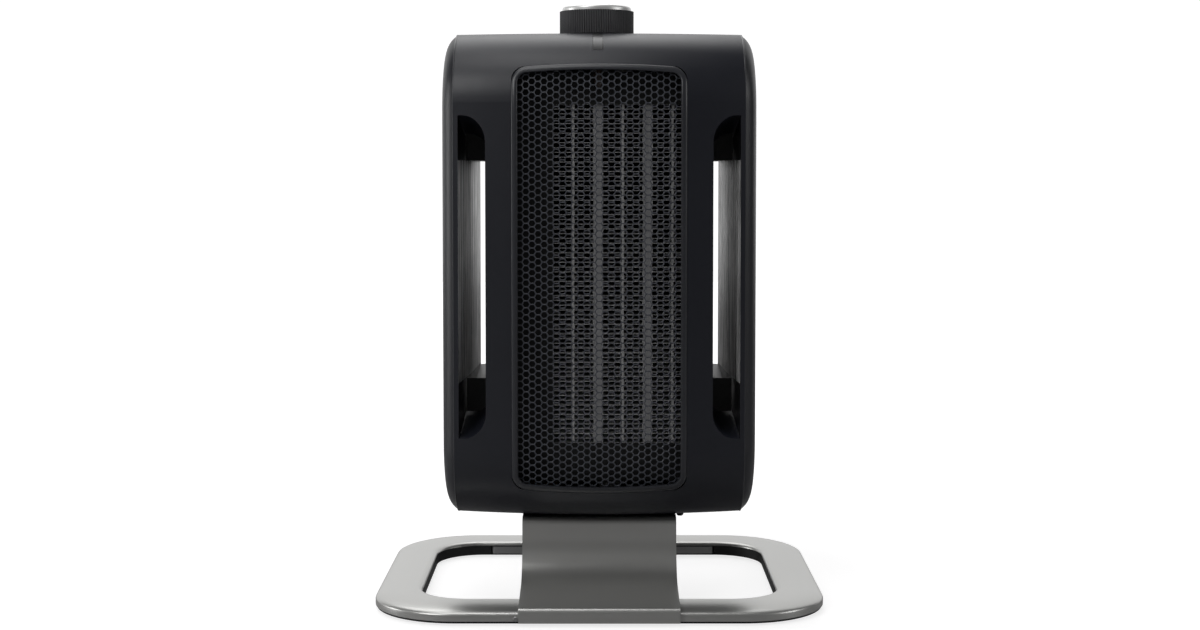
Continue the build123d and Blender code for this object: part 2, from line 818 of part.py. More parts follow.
gland_wall_out = rear_y + gland_flange_sheet + flush_gap
gland_wall_in = rear_y - wall - flush_gap - (gland_flange / 2) ** 2 / (2 * bow_radius)
with BuildPart() as cable_gland:
    add(rod_along_y(0, gland_height, rear_y + flush_gap, gland_wall_out, gland_flange))
    add(rod_along_y(0, gland_height, gland_wall_in - gland_nut_sheet, rear_y + flush_gap, gland_body))
    add(rod_along_y(0, gland_height, gland_wall_in - gland_nut_sheet, gland_wall_in, gland_flange))
    add(rod_along_y(0, gland_height, body_y, rear_y + gland_flange, gland_bore), mode=Mode.SUBTRACT)
    chamfer(cable_gland.faces().sort_by(Axis.Y)[-1].outer_wire().edges(), length=gland_flange_sheet / 2)

# Heating element: rods and electrode plates with corrugated fins between them, in a moulded frame
element_window_low = element_low + frame_lip
element_window_high = element_high - frame_lip
frame_y = (frame_front, frame_front + frame_plate)
frame_end = body_y - frame_back
frame_plate_blank = block((-frame_half_width, frame_half_width), frame_y, (frame_low, frame_high))
frame_rim = block(
    (element_x - element_half - frame_wall, element_x + element_half + frame_wall),
    (frame_y[0], frame_end),
    (element_low - frame_wall, element_high + frame_wall),
)
element_space = block(
    (element_x - element_half, element_x + element_half),
    (element_y, frame_end),
    (element_low, element_high),
)
element_window = block(
    (element_x - element_half, element_x + element_half),
    (frame_y[0], element_y),
    (element_window_low, element_window_high),
)
frame_holes = [rod_along_y(x, z, frame_y[0], frame_y[1], frame_screw_diameter + 2 * screw_clearance)
               for x, z in frame_spots]
tab_spots = [element_x + step * element_pitch for step in (-1, 0)]
with BuildPart() as heater_frame:
    add(frame_plate_blank)
    fillet(heater_frame.edges().filter_by(Axis.Y), radius=frame_post_diameter / 2)
    add(frame_rim)
    add(element_space, mode=Mode.SUBTRACT)
    add(element_window, mode=Mode.SUBTRACT)
    add(frame_holes, mode=Mode.SUBTRACT)

frame_screw_solids = [
    screw(Plane(origin=(x, frame_y[1], z), z_dir=(0, -1, 0)), frame_screw_diameter - 2 * push_fit,
          frame_screw_length, frame_screw_head, frame_screw_head_height)
    for x, z in frame_spots
]
with BuildPart() as frame_screws:
    add(frame_screw_solids)

element_span = (element_y, element_y + element_depth)
element_rows = (element_low, element_high)
rod_centres = [element_x + step * element_pitch for step in (-0.5, 0.5)]
plate_centres = [element_x + step * element_pitch for step in (-1, 0, 1)]
fin_offset = (electrode_thickness + fin_width) / 2
fin_centres = [x + side * fin_offset for x in plate_centres for side in (-1, 1)]
rod_solids = [block((x - rod_thickness / 2, x + rod_thickness / 2), element_span, element_rows)
              for x in rod_centres]
with BuildPart() as heating_rods:
    add(rod_solids)

plate_solids = [
    block((x - electrode_thickness / 2, x + electrode_thickness / 2), element_span, element_rows)
    for x in plate_centres
]
tab_necks = [
    block((x - electrode_thickness / 2, x + electrode_thickness / 2),
          (frame_y[0] - tab_sheet, element_y),
          (element_window_low, element_window_low + tab_length))
    for x in tab_spots
]
tab_tongues = [
    block((x - electrode_thickness / 2, x + tab_reach),
          (frame_y[0] - tab_sheet, frame_y[0]),
          (element_window_low - tab_length, element_window_low + tab_length))
    for x in tab_spots
]
with BuildPart() as electrode_plates:
    add(plate_solids)
    add(tab_necks)
    add(tab_tongues)

fold_step = (element_high - element_low - fin_sheet) / fin_folds
fin_runs = [(0, element_low + fin_sheet / 2 + fold * fold_step) for fold in range(fin_folds + 1)]
fin_turns = [
    ((-1) ** fold * (fin_width - fin_sheet) / 2, element_low + fin_sheet / 2 + (fold + 0.5) * fold_step)
    for fold in range(fin_folds)
]
fin_spots = [(x, 0) for x in fin_centres]
with BuildPart() as fin_packs:
    with BuildSketch(Plane.XZ.offset(-element_span[1])):
        with Locations(*fin_spots):
            with Locations(*fin_runs):
                Rectangle(fin_width, fin_sheet)
            with Locations(*fin_turns):
                Rectangle(fin_sheet, fold_step + fin_sheet)
    extrude(amount=element_depth)

cutout_z = element_high + cutout_rise
with BuildPart() as thermal_cutout:
    add(rod_along_y(cutout_x, cutout_z, frame_y[1], frame_y[1] + cutout_height, cutout_diameter))
    chamfer(thermal_cutout.faces().sort_by(Axis.Y)[-1].edges(), length=cutout_height / 8)

# Air scroll behind the element: curved rear wall, tongue, floor and roof
scroll_front = frame_end
scroll_left = element_x - element_half - frame_wall
scroll_right = element_x + element_half + frame_wall
scroll_walls = (scroll_floor + scroll_sheet, scroll_roof - scroll_sheet)
sweep_points = [
    (fan_x + reach * cos(radians(turn)), fan_y + reach * sin(radians(turn)))
    for turn, reach in zip(scroll_turns, (
        impeller_radius + scroll_throat,
        impeller_radius + (scroll_throat + scroll_mouth) / 2,
        impeller_radius + scroll_mouth,
    ))
]
tongue_reach = impeller_radius + scroll_tongue_gap + scroll_sheet / 2
tongue_tip = (fan_x + tongue_reach * cos(radians(tongue_turn)),
              fan_y + tongue_reach * sin(radians(tongue_turn)))
right_foot = (scroll_right - scroll_sheet / 2, scroll_front)
left_foot = (scroll_left + scroll_sheet / 2, scroll_front)
roof_x = (scroll_left, scroll_right)
roof_y = (scroll_front, body_y + scroll_rear)
boss_spots = [
    (fan_x + x, fan_y + y)
    for x in (-stator_left + stator_leg / 2, stator_right - stator_leg / 2)
    for y in (-stator_depth / 2 + stator_leg / 2, stator_depth / 2 - stator_leg / 2)
]
bush_hole = disc(fan_x, fan_y, scroll_roof - 2 * scroll_sheet, scroll_roof + scroll_sheet,
                 bush_diameter + 2 * push_fit)
shaft_hole = disc(fan_x, fan_y, scroll_floor - scroll_sheet, scroll_floor + 2 * scroll_sheet,
                  shaft_diameter + 2 * scroll_sheet)
stator_top = scroll_floor - stator_drop
boss_bores = [disc(x, y, stator_top, stator_top + motor_screw_bite + bore_end, motor_screw_diameter)
              for x, y in boss_spots]
with BuildPart() as air_scroll:
    with BuildSketch(Plane.XY.offset(scroll_walls[0])):
        with BuildLine():
            ThreePointArc(*sweep_points)
            Line(sweep_points[-1], right_foot)
        trace(line_width=scroll_sheet)
        with BuildLine():
            Line(tongue_tip, left_foot)
        trace(line_width=scroll_sheet)
    extrude(amount=scroll_walls[1] - scroll_walls[0])
    split(bisect_by=Plane.XZ.offset(-scroll_front), keep=Keep.BOTTOM)
    add(block((fan_x - stator_left, scroll_right), roof_y, (scroll_floor, scroll_walls[0])))
    add(block(roof_x, roof_y, (scroll_walls[1], scroll_roof)))
    with BuildSketch(Plane.XY.offset(stator_top)):
        with Locations(*boss_spots):
            Circle(motor_boss_diameter / 2)
    extrude(amount=stator_drop)
    add(bush_hole, mode=Mode.SUBTRACT)
    add(shaft_hole, mode=Mode.SUBTRACT)
    add(boss_bores, mode=Mode.SUBTRACT)

shaft_bore_radius = shaft_diameter / 2 + running_fit
with BuildPart() as top_bush:
    add(disc(fan_x, fan_y, scroll_walls[1], scroll_roof, bush_diameter))
    add(disc(fan_x, fan_y, scroll_roof, scroll_roof + bush_flange_sheet, bush_flange))
    add(disc(fan_x, fan_y, scroll_walls[1], scroll_roof + bush_flange_sheet, 2 * shaft_bore_radius),
        mode=Mode.SUBTRACT)

blade_root = impeller_radius - blade_depth
fan_plane = Plane((fan_x, fan_y, impeller_low))
with BuildPart() as impeller:
    with BuildSketch(fan_plane):
        with BuildLine():
            ThreePointArc(
                (blade_root, 0),
                (blade_root + blade_depth / 2, -blade_sag),
                (impeller_radius - blade_sheet / 2, blade_sag),
            )
        blade = trace(line_width=blade_sheet)
        with PolarLocations(0, blade_count - 1, start_angle=360 / blade_count,
                            angular_range=360 - 360 / blade_count, endpoint=False):
            add(blade)
    extrude(amount=impeller_length)
    with BuildSketch(fan_plane, fan_plane.offset(impeller_length - impeller_disc)):
        Circle(impeller_radius)
    extrude(amount=impeller_disc)
    with BuildSketch(fan_plane.offset((impeller_length - impeller_disc) / 2)):
        Circle(impeller_radius)
        Circle(blade_root, mode=Mode.SUBTRACT)
    extrude(amount=impeller_disc)
    with BuildSketch(fan_plane):
        Circle(impeller_hub / 2)
    extrude(amount=impeller_hub_height)
    with BuildSketch(fan_plane):
        Circle(shaft_diameter / 2 + push_fit)
    extrude(amount=impeller_hub_height, mode=Mode.SUBTRACT)
    with BuildSketch(fan_plane.offset(impeller_length)):
        Circle(shaft_diameter / 2)
    extrude(amount=impeller_pin_length)

# Motor: laminated stator with its coil, rotor on the shaft, two bearing bridges
stator_low = stator_top - stator_height
stator_x = (fan_x - stator_left, fan_x + stator_right)
stator_y = (fan_y - stator_depth / 2, fan_y + stator_depth / 2)
window_x = (stator_x[0] + stator_leg, stator_x[0] + stator_leg + stator_window)
window_y = (fan_y - stator_window_depth / 2, fan_y + stator_window_depth / 2)
motor_holes = [disc(x, y, stator_low, stator_top, motor_screw_diameter + 2 * screw_clearance)
               for x, y in boss_spots]
with BuildPart() as motor_stator:
    add(block(stator_x, stator_y, (stator_low, stator_top)))
    fillet(motor_stator.edges().filter_by(Axis.Z), radius=stator_round)
    add(block(window_x, window_y, (stator_low, stator_top)), mode=Mode.SUBTRACT)
    add(disc(fan_x, fan_y, stator_low, stator_top, rotor_diameter + 2 * air_gap), mode=Mode.SUBTRACT)
    add(motor_holes, mode=Mode.SUBTRACT)

with BuildPart() as motor_coil:
    add(block((stator_x[0] - coil_wrap, window_x[0] + coil_wrap),
              (fan_y - coil_depth / 2, fan_y + coil_depth / 2),
              (stator_low - coil_wrap, stator_top + coil_wrap)))
    fillet(motor_coil.edges().filter_by(Axis.Y), radius=coil_wrap / 2)
    add(block((stator_x[0], window_x[0]), stator_y, (stator_low, stator_top)), mode=Mode.SUBTRACT)

rotor_low = (stator_low + stator_top - rotor_height) / 2
with BuildPart() as motor_rotor:
    add(disc(fan_x, fan_y, rotor_low, rotor_low + rotor_height, rotor_diameter))
    add(disc(fan_x, fan_y, rotor_low, rotor_low + rotor_height, shaft_diameter + 2 * push_fit),
        mode=Mode.SUBTRACT)

bridge_x = (fan_x - bridge_width / 2, fan_x + bridge_width / 2)
bridge_y = (window_y[0] - bridge_leg, window_y[1] + bridge_leg)
upper_bridge = (stator_top + bridge_rise, stator_top + bridge_rise + bridge_sheet)
lower_bridge = (stator_low - bridge_rise - bridge_sheet, stator_low - bridge_rise)
with BuildPart() as bearing_bridges:
    add(block(bridge_x, bridge_y, upper_bridge))
    add(block(bridge_x, bridge_y, lower_bridge))
    for ends in ((bridge_y[0], bridge_y[0] + bridge_leg / 2), (bridge_y[1] - bridge_leg / 2, bridge_y[1])):
        with Locations((fan_x, (ends[0] + ends[1]) / 2, stator_top + bridge_rise / 2),
                       (fan_x, (ends[0] + ends[1]) / 2, stator_low - bridge_rise / 2)):
            Box(bridge_width, ends[1] - ends[0], bridge_rise)
    add(disc(fan_x, fan_y, lower_bridge[0], upper_bridge[1], 2 * shaft_bore_radius), mode=Mode.SUBTRACT)

with BuildPart() as motor_shaft:
    add(disc(fan_x, fan_y, lower_bridge[0] - shaft_low_end, impeller_low + impeller_hub_height,
             shaft_diameter))

motor_screw_solids = [
    screw(Plane((x, y, stator_low)), motor_screw_diameter - 2 * push_fit,
          stator_height + motor_screw_bite, motor_screw_head, motor_screw_head_height)
    for x, y in boss_spots
]
with BuildPart() as motor_screws:
    add(motor_screw_solids)

# Selector switch, its nut and shaft, and the ribbed knob with its metal cap
switch_y = (body_y - switch_width / 2, body_y + switch_width / 2)
neck_top = body_top + neck_height - wall
knob_low = body_top + knob_clearance
knob_top = knob_low + knob_height
knob_shaft_low = switch_top - knob_shaft_depth
knob_shaft_high = body_top + knob_shaft_top
with BuildPart() as selector_switch:
    add(block(switch_x, switch_y, (switch_top - switch_height, switch_top)))
    fillet(selector_switch.edges().filter_by(Axis.Z), radius=switch_round)
    add(disc(knob_x, body_y, switch_top, neck_top, neck_diameter))
    add(disc(knob_x, body_y, knob_shaft_low - running_fit, neck_top,
             knob_shaft_diameter + 2 * running_fit), mode=Mode.SUBTRACT)

with BuildPart() as switch_nut:
    with BuildSketch(Plane((knob_x, body_y, body_top))):
        RegularPolygon(radius=nut_flats / sqrt(3), side_count=6)
        Circle(neck_diameter / 2 + push_fit, mode=Mode.SUBTRACT)
    extrude(amount=nut_height)


def d_shaft(low, high, grow):
    """D-section of the knob shaft between two heights, `grow` larger all round."""
    radius = knob_shaft_diameter / 2 + grow
    with BuildPart() as shaft:
        with BuildSketch(Plane((knob_x, body_y, low))):
            Circle(radius)
            with Locations((0, -knob_shaft_diameter + knob_shaft_flat - grow)):
                Rectangle(2 * knob_shaft_diameter, knob_shaft_diameter, mode=Mode.SUBTRACT)
        extrude(amount=high - low)
    return shaft.part


with BuildPart() as knob_shaft:
    add(disc(knob_x, body_y, knob_shaft_low, neck_top, knob_shaft_diameter))
    add(d_shaft(neck_top, knob_shaft_high, 0))

knob_plane = Plane((knob_x, body_y, knob_low))
knob_core = knob_diameter / 2 - knob_rib_depth
with BuildPart() as control_knob:
    with BuildSketch(knob_plane):
        Circle(knob_core)
        with PolarLocations(knob_core - knob_rib_depth, knob_ribs):
            Rectangle(4 * knob_rib_depth, knob_rib_width)
    extrude(amount=knob_height)
    with BuildSketch(knob_plane):
        Circle(knob_core - knob_wall)
        Circle(knob_hub / 2, mode=Mode.SUBTRACT)
    extrude(amount=knob_height - knob_top_sheet, mode=Mode.SUBTRACT)
    with BuildSketch(knob_plane):
        Circle(knob_hub / 2)
    extrude(amount=neck_top + 2 * flush_gap - knob_low, mode=Mode.SUBTRACT)
    add(d_shaft(neck_top, knob_shaft_high + flush_gap, push_fit), mode=Mode.SUBTRACT)
    add(disc(knob_x, body_y, knob_top - cap_seat, knob_top + cap_seat, cap_diameter + 2 * flush_gap),
        mode=Mode.SUBTRACT)

with BuildPart() as knob_cap:
    add(disc(knob_x, body_y, knob_top - cap_seat, knob_top + cap_rise, cap_diameter))
    fillet(knob_cap.faces().sort_by(Axis.Z)[-1].edges(), radius=cap_round)

# Pilot lens with its light pipe, and the lamp under it
pipe_y = (front_y + light_pipe_behind_front, front_y + light_pipe_behind_front + light_pipe_depth)
with BuildPart() as lens_strip:
    add(lens_block(0))
    add(front_outer, mode=Mode.INTERSECT)
    add(bowed_half(wall, shell_half_width), mode=Mode.SUBTRACT)

with BuildPart() as lens_pipe:
    add(block((lens_x - light_pipe_width / 2, lens_x + light_pipe_width / 2), pipe_y, (lamp_top, body_top)))
    add(bowed_half(wall / 2, shell_half_width), mode=Mode.INTERSECT)

with BuildPart() as pilot_lens:
    add(lens_strip.part)
    add(lens_pipe.part)

with BuildPart() as pilot_lamp:
    add(disc(lens_x, (pipe_y[0] + pipe_y[1]) / 2, lamp_top - lamp_length, lamp_top, lamp_diameter))
    chamfer(pilot_lamp.faces().sort_by(Axis.Z)[0].edges(), length=lamp_diameter / 4)

# Tilt switch on the housing floor: an open case with a hanging pendulum
tilt_case = (floor_top, floor_top + tilt_height)
tilt_pin_z = tilt_case[1] - tilt_pin_drop
with BuildPart() as tilt_switch_case:
    add(block((tilt_x - tilt_width / 2, tilt_x + tilt_width / 2),
              (body_y - tilt_depth / 2, body_y + tilt_depth / 2), tilt_case))
    add(block((tilt_x - tilt_width / 2 + tilt_wall, tilt_x + tilt_width / 2 - tilt_wall),
              (body_y - tilt_depth, body_y + tilt_depth),
              (tilt_case[0] + tilt_wall, tilt_case[1] + tilt_wall)), mode=Mode.SUBTRACT)
    with BuildSketch(Plane.YZ.offset(tilt_x - tilt_width)):
        with Locations((body_y, tilt_pin_z)):
            Circle(tilt_pin_diameter / 2 + running_fit)
    extrude(amount=2 * tilt_width, mode=Mode.SUBTRACT)

with BuildPart() as tilt_pendulum:
    with BuildSketch(Plane.YZ.offset(tilt_x)):
        with Locations((body_y, tilt_pin_z)):
            Circle(tilt_pin_diameter / 2)
    extrude(amount=tilt_width / 2, both=True)
    with BuildSketch(Plane.YZ.offset(tilt_x)):
        with Locations((body_y, tilt_pin_z - tilt_weight_drop / 2)):
            Rectangle(tilt_arm, tilt_weight_drop + tilt_pin_diameter)
        with Locations((body_y, tilt_pin_z - tilt_weight_drop + tilt_weight_diameter / 4)):
            Circle(tilt_weight_diameter / 2)
    extrude(amount=tilt_width / 2 - tilt_wall - tilt_side_gap, both=True)

terminal_y = (body_y - terminal_depth / 2, body_y + terminal_depth / 2)
with BuildPart() as terminal_block:
    add(block((terminal_x - terminal_width / 2, terminal_x + terminal_width / 2), terminal_y,
              (floor_top, floor_top + terminal_height)))
    with BuildSketch(Plane.XY.offset(floor_top + terminal_height)):
        with Locations((terminal_x, body_y)):
            with GridLocations(1, terminal_depth / terminal_ways, 1, terminal_ways):
                Rectangle(terminal_width - 2 * tilt_wall, terminal_depth / terminal_ways - tilt_wall)
    extrude(amount=-terminal_well, mode=Mode.SUBTRACT)

with BuildPart() as strap_rivet:
    add(rivet_solid)

pieces = {
    "base_ring": base_ring,
    "base_skirt": base_skirt,
    "ballast_bar": ballast_bar,
    "rubber_feet": rubber_feet,
    "base_screws": base_screws,
    "stand_strap": stand_strap,
    "strap_rivet": strap_rivet,
    "strap_gasket": strap_gasket,
    "clamp_plate": clamp_plate,
    "stand_screws": stand_screws,
    "front_shell": front_shell,
    "rear_shell": rear_shell,
    "shell_screws": shell_screws,
    "left_side_cover": left_side_cover,
    "right_side_cover": right_side_cover,
    "underside_bumper": underside_bumper,
    "grille_bezel": grille_bezel,
    "grille_mesh": grille_mesh,
    "intake_grille": intake_grille,
    "cable_gland": cable_gland,
    "heater_frame": heater_frame,
    "frame_screws": frame_screws,
    "heating_rods": heating_rods,
    "electrode_plates": electrode_plates,
    "fin_packs": fin_packs,
    "thermal_cutout": thermal_cutout,
    "air_scroll": air_scroll,
    "top_bush": top_bush,
    "impeller": impeller,
    "motor_shaft": motor_shaft,
    "motor_stator": motor_stator,
    "motor_coil": motor_coil,
    "motor_rotor": motor_rotor,
    "bearing_bridges": bearing_bridges,
    "motor_screws": motor_screws,
    "selector_switch": selector_switch,
    "switch_nut": switch_nut,
    "knob_shaft": knob_shaft,
    "control_knob": control_knob,
    "knob_cap": knob_cap,
    "pilot_lens": pilot_lens,
    "pilot_lamp": pilot_lamp,
    "tilt_switch_case": tilt_switch_case,
    "tilt_pendulum": tilt_pendulum,
    "terminal_block": terminal_block,
}
for name, piece in pieces.items():
    piece.part.label = name
    export_step(piece.part, f"parts/{name}.step")
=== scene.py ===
import logging
from dataclasses import dataclass, field
from enum import Enum
from math import atan2, cos, pi, radians, sin, sqrt
from typing import Any, Callable, Iterable

import bpy
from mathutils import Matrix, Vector


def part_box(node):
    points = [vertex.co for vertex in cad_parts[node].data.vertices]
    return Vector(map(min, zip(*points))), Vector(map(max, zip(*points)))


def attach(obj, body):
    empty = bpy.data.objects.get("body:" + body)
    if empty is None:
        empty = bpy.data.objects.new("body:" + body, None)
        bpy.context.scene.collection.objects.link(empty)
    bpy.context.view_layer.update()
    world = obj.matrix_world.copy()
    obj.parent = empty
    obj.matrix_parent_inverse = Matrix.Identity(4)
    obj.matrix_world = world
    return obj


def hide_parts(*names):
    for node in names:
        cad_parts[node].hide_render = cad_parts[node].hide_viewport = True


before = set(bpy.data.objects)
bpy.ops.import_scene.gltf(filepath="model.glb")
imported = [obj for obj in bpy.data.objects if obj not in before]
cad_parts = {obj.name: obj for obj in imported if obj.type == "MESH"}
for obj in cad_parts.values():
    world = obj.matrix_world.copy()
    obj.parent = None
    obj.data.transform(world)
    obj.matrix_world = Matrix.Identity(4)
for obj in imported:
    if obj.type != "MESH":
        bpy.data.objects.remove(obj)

logging.basicConfig(level=logging.INFO, format="%(message)s")
log = logging.getLogger("fan_heater")
MM = 0.001
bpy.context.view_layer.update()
CLOUD_SCALE = 22.0
WEAR_SCALE = 140.0
CLOUD_SHARE = 0.65
COAT_ROUGHNESS = 0.12
# Painted reflection: the next three numbers shape the silver streaks painted on the black slot walls.
STREAK_CONTRAST = 4.5
STREAK_DRIFT = 1.5
STREAK_FLOOR = 2.5
CORNER_STEPS = 16
SIDE_POINTS = 6


class Grain(Enum):
    """Surface character of a finish."""

    SPARK = "fine spark-eroded moulding texture"
    SATIN = "satin lacquer over sheet steel"
    DRAWN = "drawn or rolled bare metal"
    SOFT = "dull rubber or moulded underside"
    # Painted reflection: this grain paints silver streaks that stand in for what the glossy black slot
    # walls mirror.
    STREAK = "painted streaked reflection on a black wall"


class Sock:
    """A socket that takes part in arithmetic and adds the Math nodes it needs."""

    def __init__(self, maker: "NodeMaker", socket: Any) -> None:
        """Keep the tree's maker and the socket."""
        self.maker = maker
        self.socket = socket

    def _math(self, operation: str, first: Any, second: Any) -> "Sock":
        """Add one Math node for two values or links."""
        return self.maker.node("ShaderNodeMath", {"operation": operation}, {0: first, 1: second})

    def __add__(self, other: Any) -> "Sock":
        """Sum of this socket and another value."""
        return self._math("ADD", self, other)

    def __sub__(self, other: Any) -> "Sock":
        """This socket less another value."""
        return self._math("SUBTRACT", self, other)

    def __rsub__(self, other: Any) -> "Sock":
        """Another value less this socket."""
        return self._math("SUBTRACT", other, self)

    def __mul__(self, other: Any) -> "Sock":
        """Product of this socket and another value."""
        return self._math("MULTIPLY", self, other)

    __radd__ = __add__
    __rmul__ = __mul__


class NodeMaker:
    """Adds nodes to one tree."""

    def __init__(self, tree: Any) -> None:
        """Keep the tree and empty it."""
        self.tree = tree
        self.tree.nodes.clear()

    def feed(self, target: Any, value: Any) -> None:
        """Link a Sock to an input, or set the input's value.

        Args:
            target: the input.
            value: a Sock or a plain value.
        """
        if isinstance(value, Sock):
            self.tree.links.new(value.socket, target)
        else:
            target.default_value = value

    def node(self, kind: str, settings: dict, inputs: dict, output: Any = 0) -> Sock:
        """Add a node.

        Args:
            kind: node type.
            settings: attributes that are set before the inputs.
            inputs: values or Socks by input name or number.
            output: name or number of the output that is handed back.

        Returns:
            The chosen output as a Sock.
        """
        made = self.tree.nodes.new(kind)
        for key, value in settings.items():
            setattr(made, key, value)
        for key, value in inputs.items():
            self.feed(made.inputs[key], value)
        return Sock(self, made.outputs[output])


class MaterialMaker(NodeMaker):
    """Builds one material round a Principled shader."""

    def __init__(self, name: str) -> None:
        """Make a node material that holds only its shader, its output and its coordinates.

        Args:
            name: name of the material.
        """
        self.material = bpy.data.materials.new(name)
        self.material.use_nodes = True
        super().__init__(self.material.node_tree)
        self.shader = self.tree.nodes.new("ShaderNodeBsdfPrincipled")
        output = self.tree.nodes.new("ShaderNodeOutputMaterial")
        self.tree.links.new(self.shader.outputs[0], output.inputs["Surface"])
        self.place = self.node("ShaderNodeTexCoord", {}, {}, "Object")

    def noise(self, scale: float, detail: float = 3.0, stretch: tuple = (1, 1, 1)) -> Sock:
        """Noise on object coordinates, stretched along the axes, from 0 to 1.

        Args:
            scale: size of the noise, in waves to the metre.
            detail: number of finer layers.
            stretch: factor on each axis.

        Returns:
            The noise.
        """
        spread = self.node("ShaderNodeMapping", {}, {"Vector": self.place, "Scale": stretch})
        return self.node("ShaderNodeTexNoise", {},
                         {"Vector": spread, "Scale": scale, "Detail": detail})

    def blend(self, low: tuple, high: tuple, factor: Sock) -> Sock:
        """Colour between two colours by a factor.

        Args:
            low: colour at 0.
            high: colour at 1.
            factor: the factor.

        Returns:
            The colour.
        """
        return self.node("ShaderNodeMix", {"data_type": "RGBA"},
                         {0: factor, 6: (*low, 1), 7: (*high, 1)}, 2)

    def between(self, band: tuple) -> Sock:
        """1 where the object's height lies inside a band, else 0.

        Args:
            band: lowest and highest height in metres.

        Returns:
            The factor.
        """
        height = self.node("ShaderNodeSeparateXYZ", {}, {0: self.place}, "Z")
        low, high = band
        above = self.node("ShaderNodeMath", {"operation": "GREATER_THAN"}, {0: height, 1: low})
        return above * self.node("ShaderNodeMath", {"operation": "LESS_THAN"}, {0: height, 1: high})

    def far(self, near: float, reach: float) -> Sock:
        """0 near the origin, rising to 1 with the distance from it.

        Args:
            near: distance in metres up to which it is 0.
            reach: distance from which it is 1.

        Returns:
            The factor.
        """
        length = self.node("ShaderNodeVectorMath", {"operation": "LENGTH"}, {0: self.place},
                           "Value")
        return self.node("ShaderNodeMapRange", {}, {0: length, 1: near, 2: reach, 3: 0.0, 4: 1.0})

    def bump(self, height: Sock, strength: float, distance: float) -> None:
        """Feed the shader's normal from a height.

        Args:
            height: the relief, from 0 to 1.
            strength: strength of the bump.
            distance: depth of the relief in metres.
        """
        self.feed(self.shader.inputs["Normal"],
                  self.node("ShaderNodeBump", {},
                            {"Strength": strength, "Distance": distance, "Height": height}))


@dataclass(frozen=True)
class Finish:
    """One surface finish of the heater.

    Its colours run from dark to light with the grain, and its roughness varies by the spread. The
    band gives the heights in metres that the painted streaked reflection covers.
    """

    name: str
    dark: tuple
    light: tuple
    rough: float
    spread: float = 0.08
    metal: float = 0.0
    grain: Grain = Grain.SPARK
    relief: float = 0.1
    coat: float = 0.0
    band: tuple = (0.0, 0.0)

    def scales(self) -> tuple:
        """Grain noise scale, its stretch and the relief's depth in metres.

        Returns:
            The three values for this finish's grain.
        """
        return {
            Grain.SPARK: (2600.0, (1, 1, 1), 0.00006),
            Grain.SATIN: (3400.0, (1, 1, 1), 0.00004),
            Grain.DRAWN: (900.0, (1, 1, 0.06), 0.00004),
            Grain.SOFT: (1200.0, (1, 1, 1), 0.0001),
            Grain.STREAK: (420.0, (1, 1, 0.035), 0.0002),
        }[self.grain]

    def material(self) -> Any:
        """Build the material.

        Returns:
            A node material with colour, roughness and relief that vary over the surface.
        """
        maker = MaterialMaker(self.name)
        scale, stretch, depth = self.scales()
        fine = maker.noise(scale, 2.0, stretch)
        cloud = maker.noise(CLOUD_SCALE, 4.0)
        wear = maker.noise(WEAR_SCALE)
        shader = maker.shader.inputs
        tone = cloud * CLOUD_SHARE + fine * (1 - CLOUD_SHARE)
        if self.grain is Grain.STREAK:
            # Painted reflection: light streaks only inside the band, where the slot walls mirror the white
            # seen through the slots; elsewhere the wall keeps the dark colour.
            reflection_streaks = fine * STREAK_CONTRAST + cloud * STREAK_DRIFT - STREAK_FLOOR
            tone = reflection_streaks * maker.between(self.band)
        maker.feed(shader["Base Color"], maker.blend(self.dark, self.light, tone))
        maker.feed(shader["Roughness"], cloud * self.spread + wear * (self.spread * 0.6)
                   + (self.rough - self.spread * 0.8))
        shader["Metallic"].default_value = self.metal
        shader["Coat Weight"].default_value = self.coat
        shader["Coat Roughness"].default_value = COAT_ROUGHNESS
        maker.bump(fine, self.relief, depth)
        return maker.material


HOUSING = Finish("housing_satin_black", (0.0062, 0.0072, 0.0125), (0.0086, 0.0100, 0.0165),
                 0.41, 0.06, relief=0.12)
COVER = Finish("side_cover_black", (0.0052, 0.0060, 0.0095), (0.0072, 0.0084, 0.0130),
               0.42, 0.07, relief=0.12)
# Painted highlight: the black bezel is coloured several times lighter than the housing, standing in for
# the light caught on its rim; the edge beads use it too.
BEZEL_HIGHLIGHT = Finish("bezel_black_painted_highlight", (0.0210, 0.0225, 0.0275), (0.0290, 0.0305, 0.0360),
               0.32, 0.05, relief=0.08)
# Painted highlight: the black honeycomb is coloured several times lighter than the housing, standing in
# for the light its webs catch.
HONEYCOMB_HIGHLIGHT = Finish("honeycomb_black_painted_highlight", (0.044, 0.048, 0.060), (0.068, 0.073, 0.087), 0.34, 0.08)
INTAKE = Finish("intake_black", (0.0060, 0.0066, 0.0080), (0.0100, 0.0106, 0.0125), 0.5, 0.08)
STAND = Finish("stand_satin_grey", (0.45, 0.45, 0.437), (0.49, 0.49, 0.476), 0.33, 0.03, 0.76,
               Grain.SATIN, 0.04)
STEEL = Finish("zinc_steel", (0.34, 0.34, 0.34), (0.46, 0.46, 0.46),
               0.38, 0.12, 1.0, Grain.DRAWN, 0.2)
SKIRT = Finish("skirt_black", (0.0050, 0.0052, 0.0056), (0.0085, 0.0088, 0.0092),
               0.55, 0.08, 0, Grain.SOFT, 0.2)
RUBBER = Finish("rubber_black", (0.008, 0.008, 0.008), (0.014, 0.014, 0.014),
                0.8, 0.08, 0, Grain.SOFT, 0.4)
KNOB = Finish("knob_dark_grey", (0.030, 0.030, 0.033), (0.044, 0.044, 0.048),
              0.55, 0.10, 0, Grain.SOFT, 0.2)
CAP = Finish("knob_cap_silver", (0.74, 0.74, 0.73), (0.84, 0.84, 0.83),
             0.38, 0.08, 0.6, Grain.DRAWN, 0.1)
LENS = Finish("lens_smoke", (0.0030, 0.0034, 0.0048), (0.0044, 0.0050, 0.0070), 0.30, 0.04)
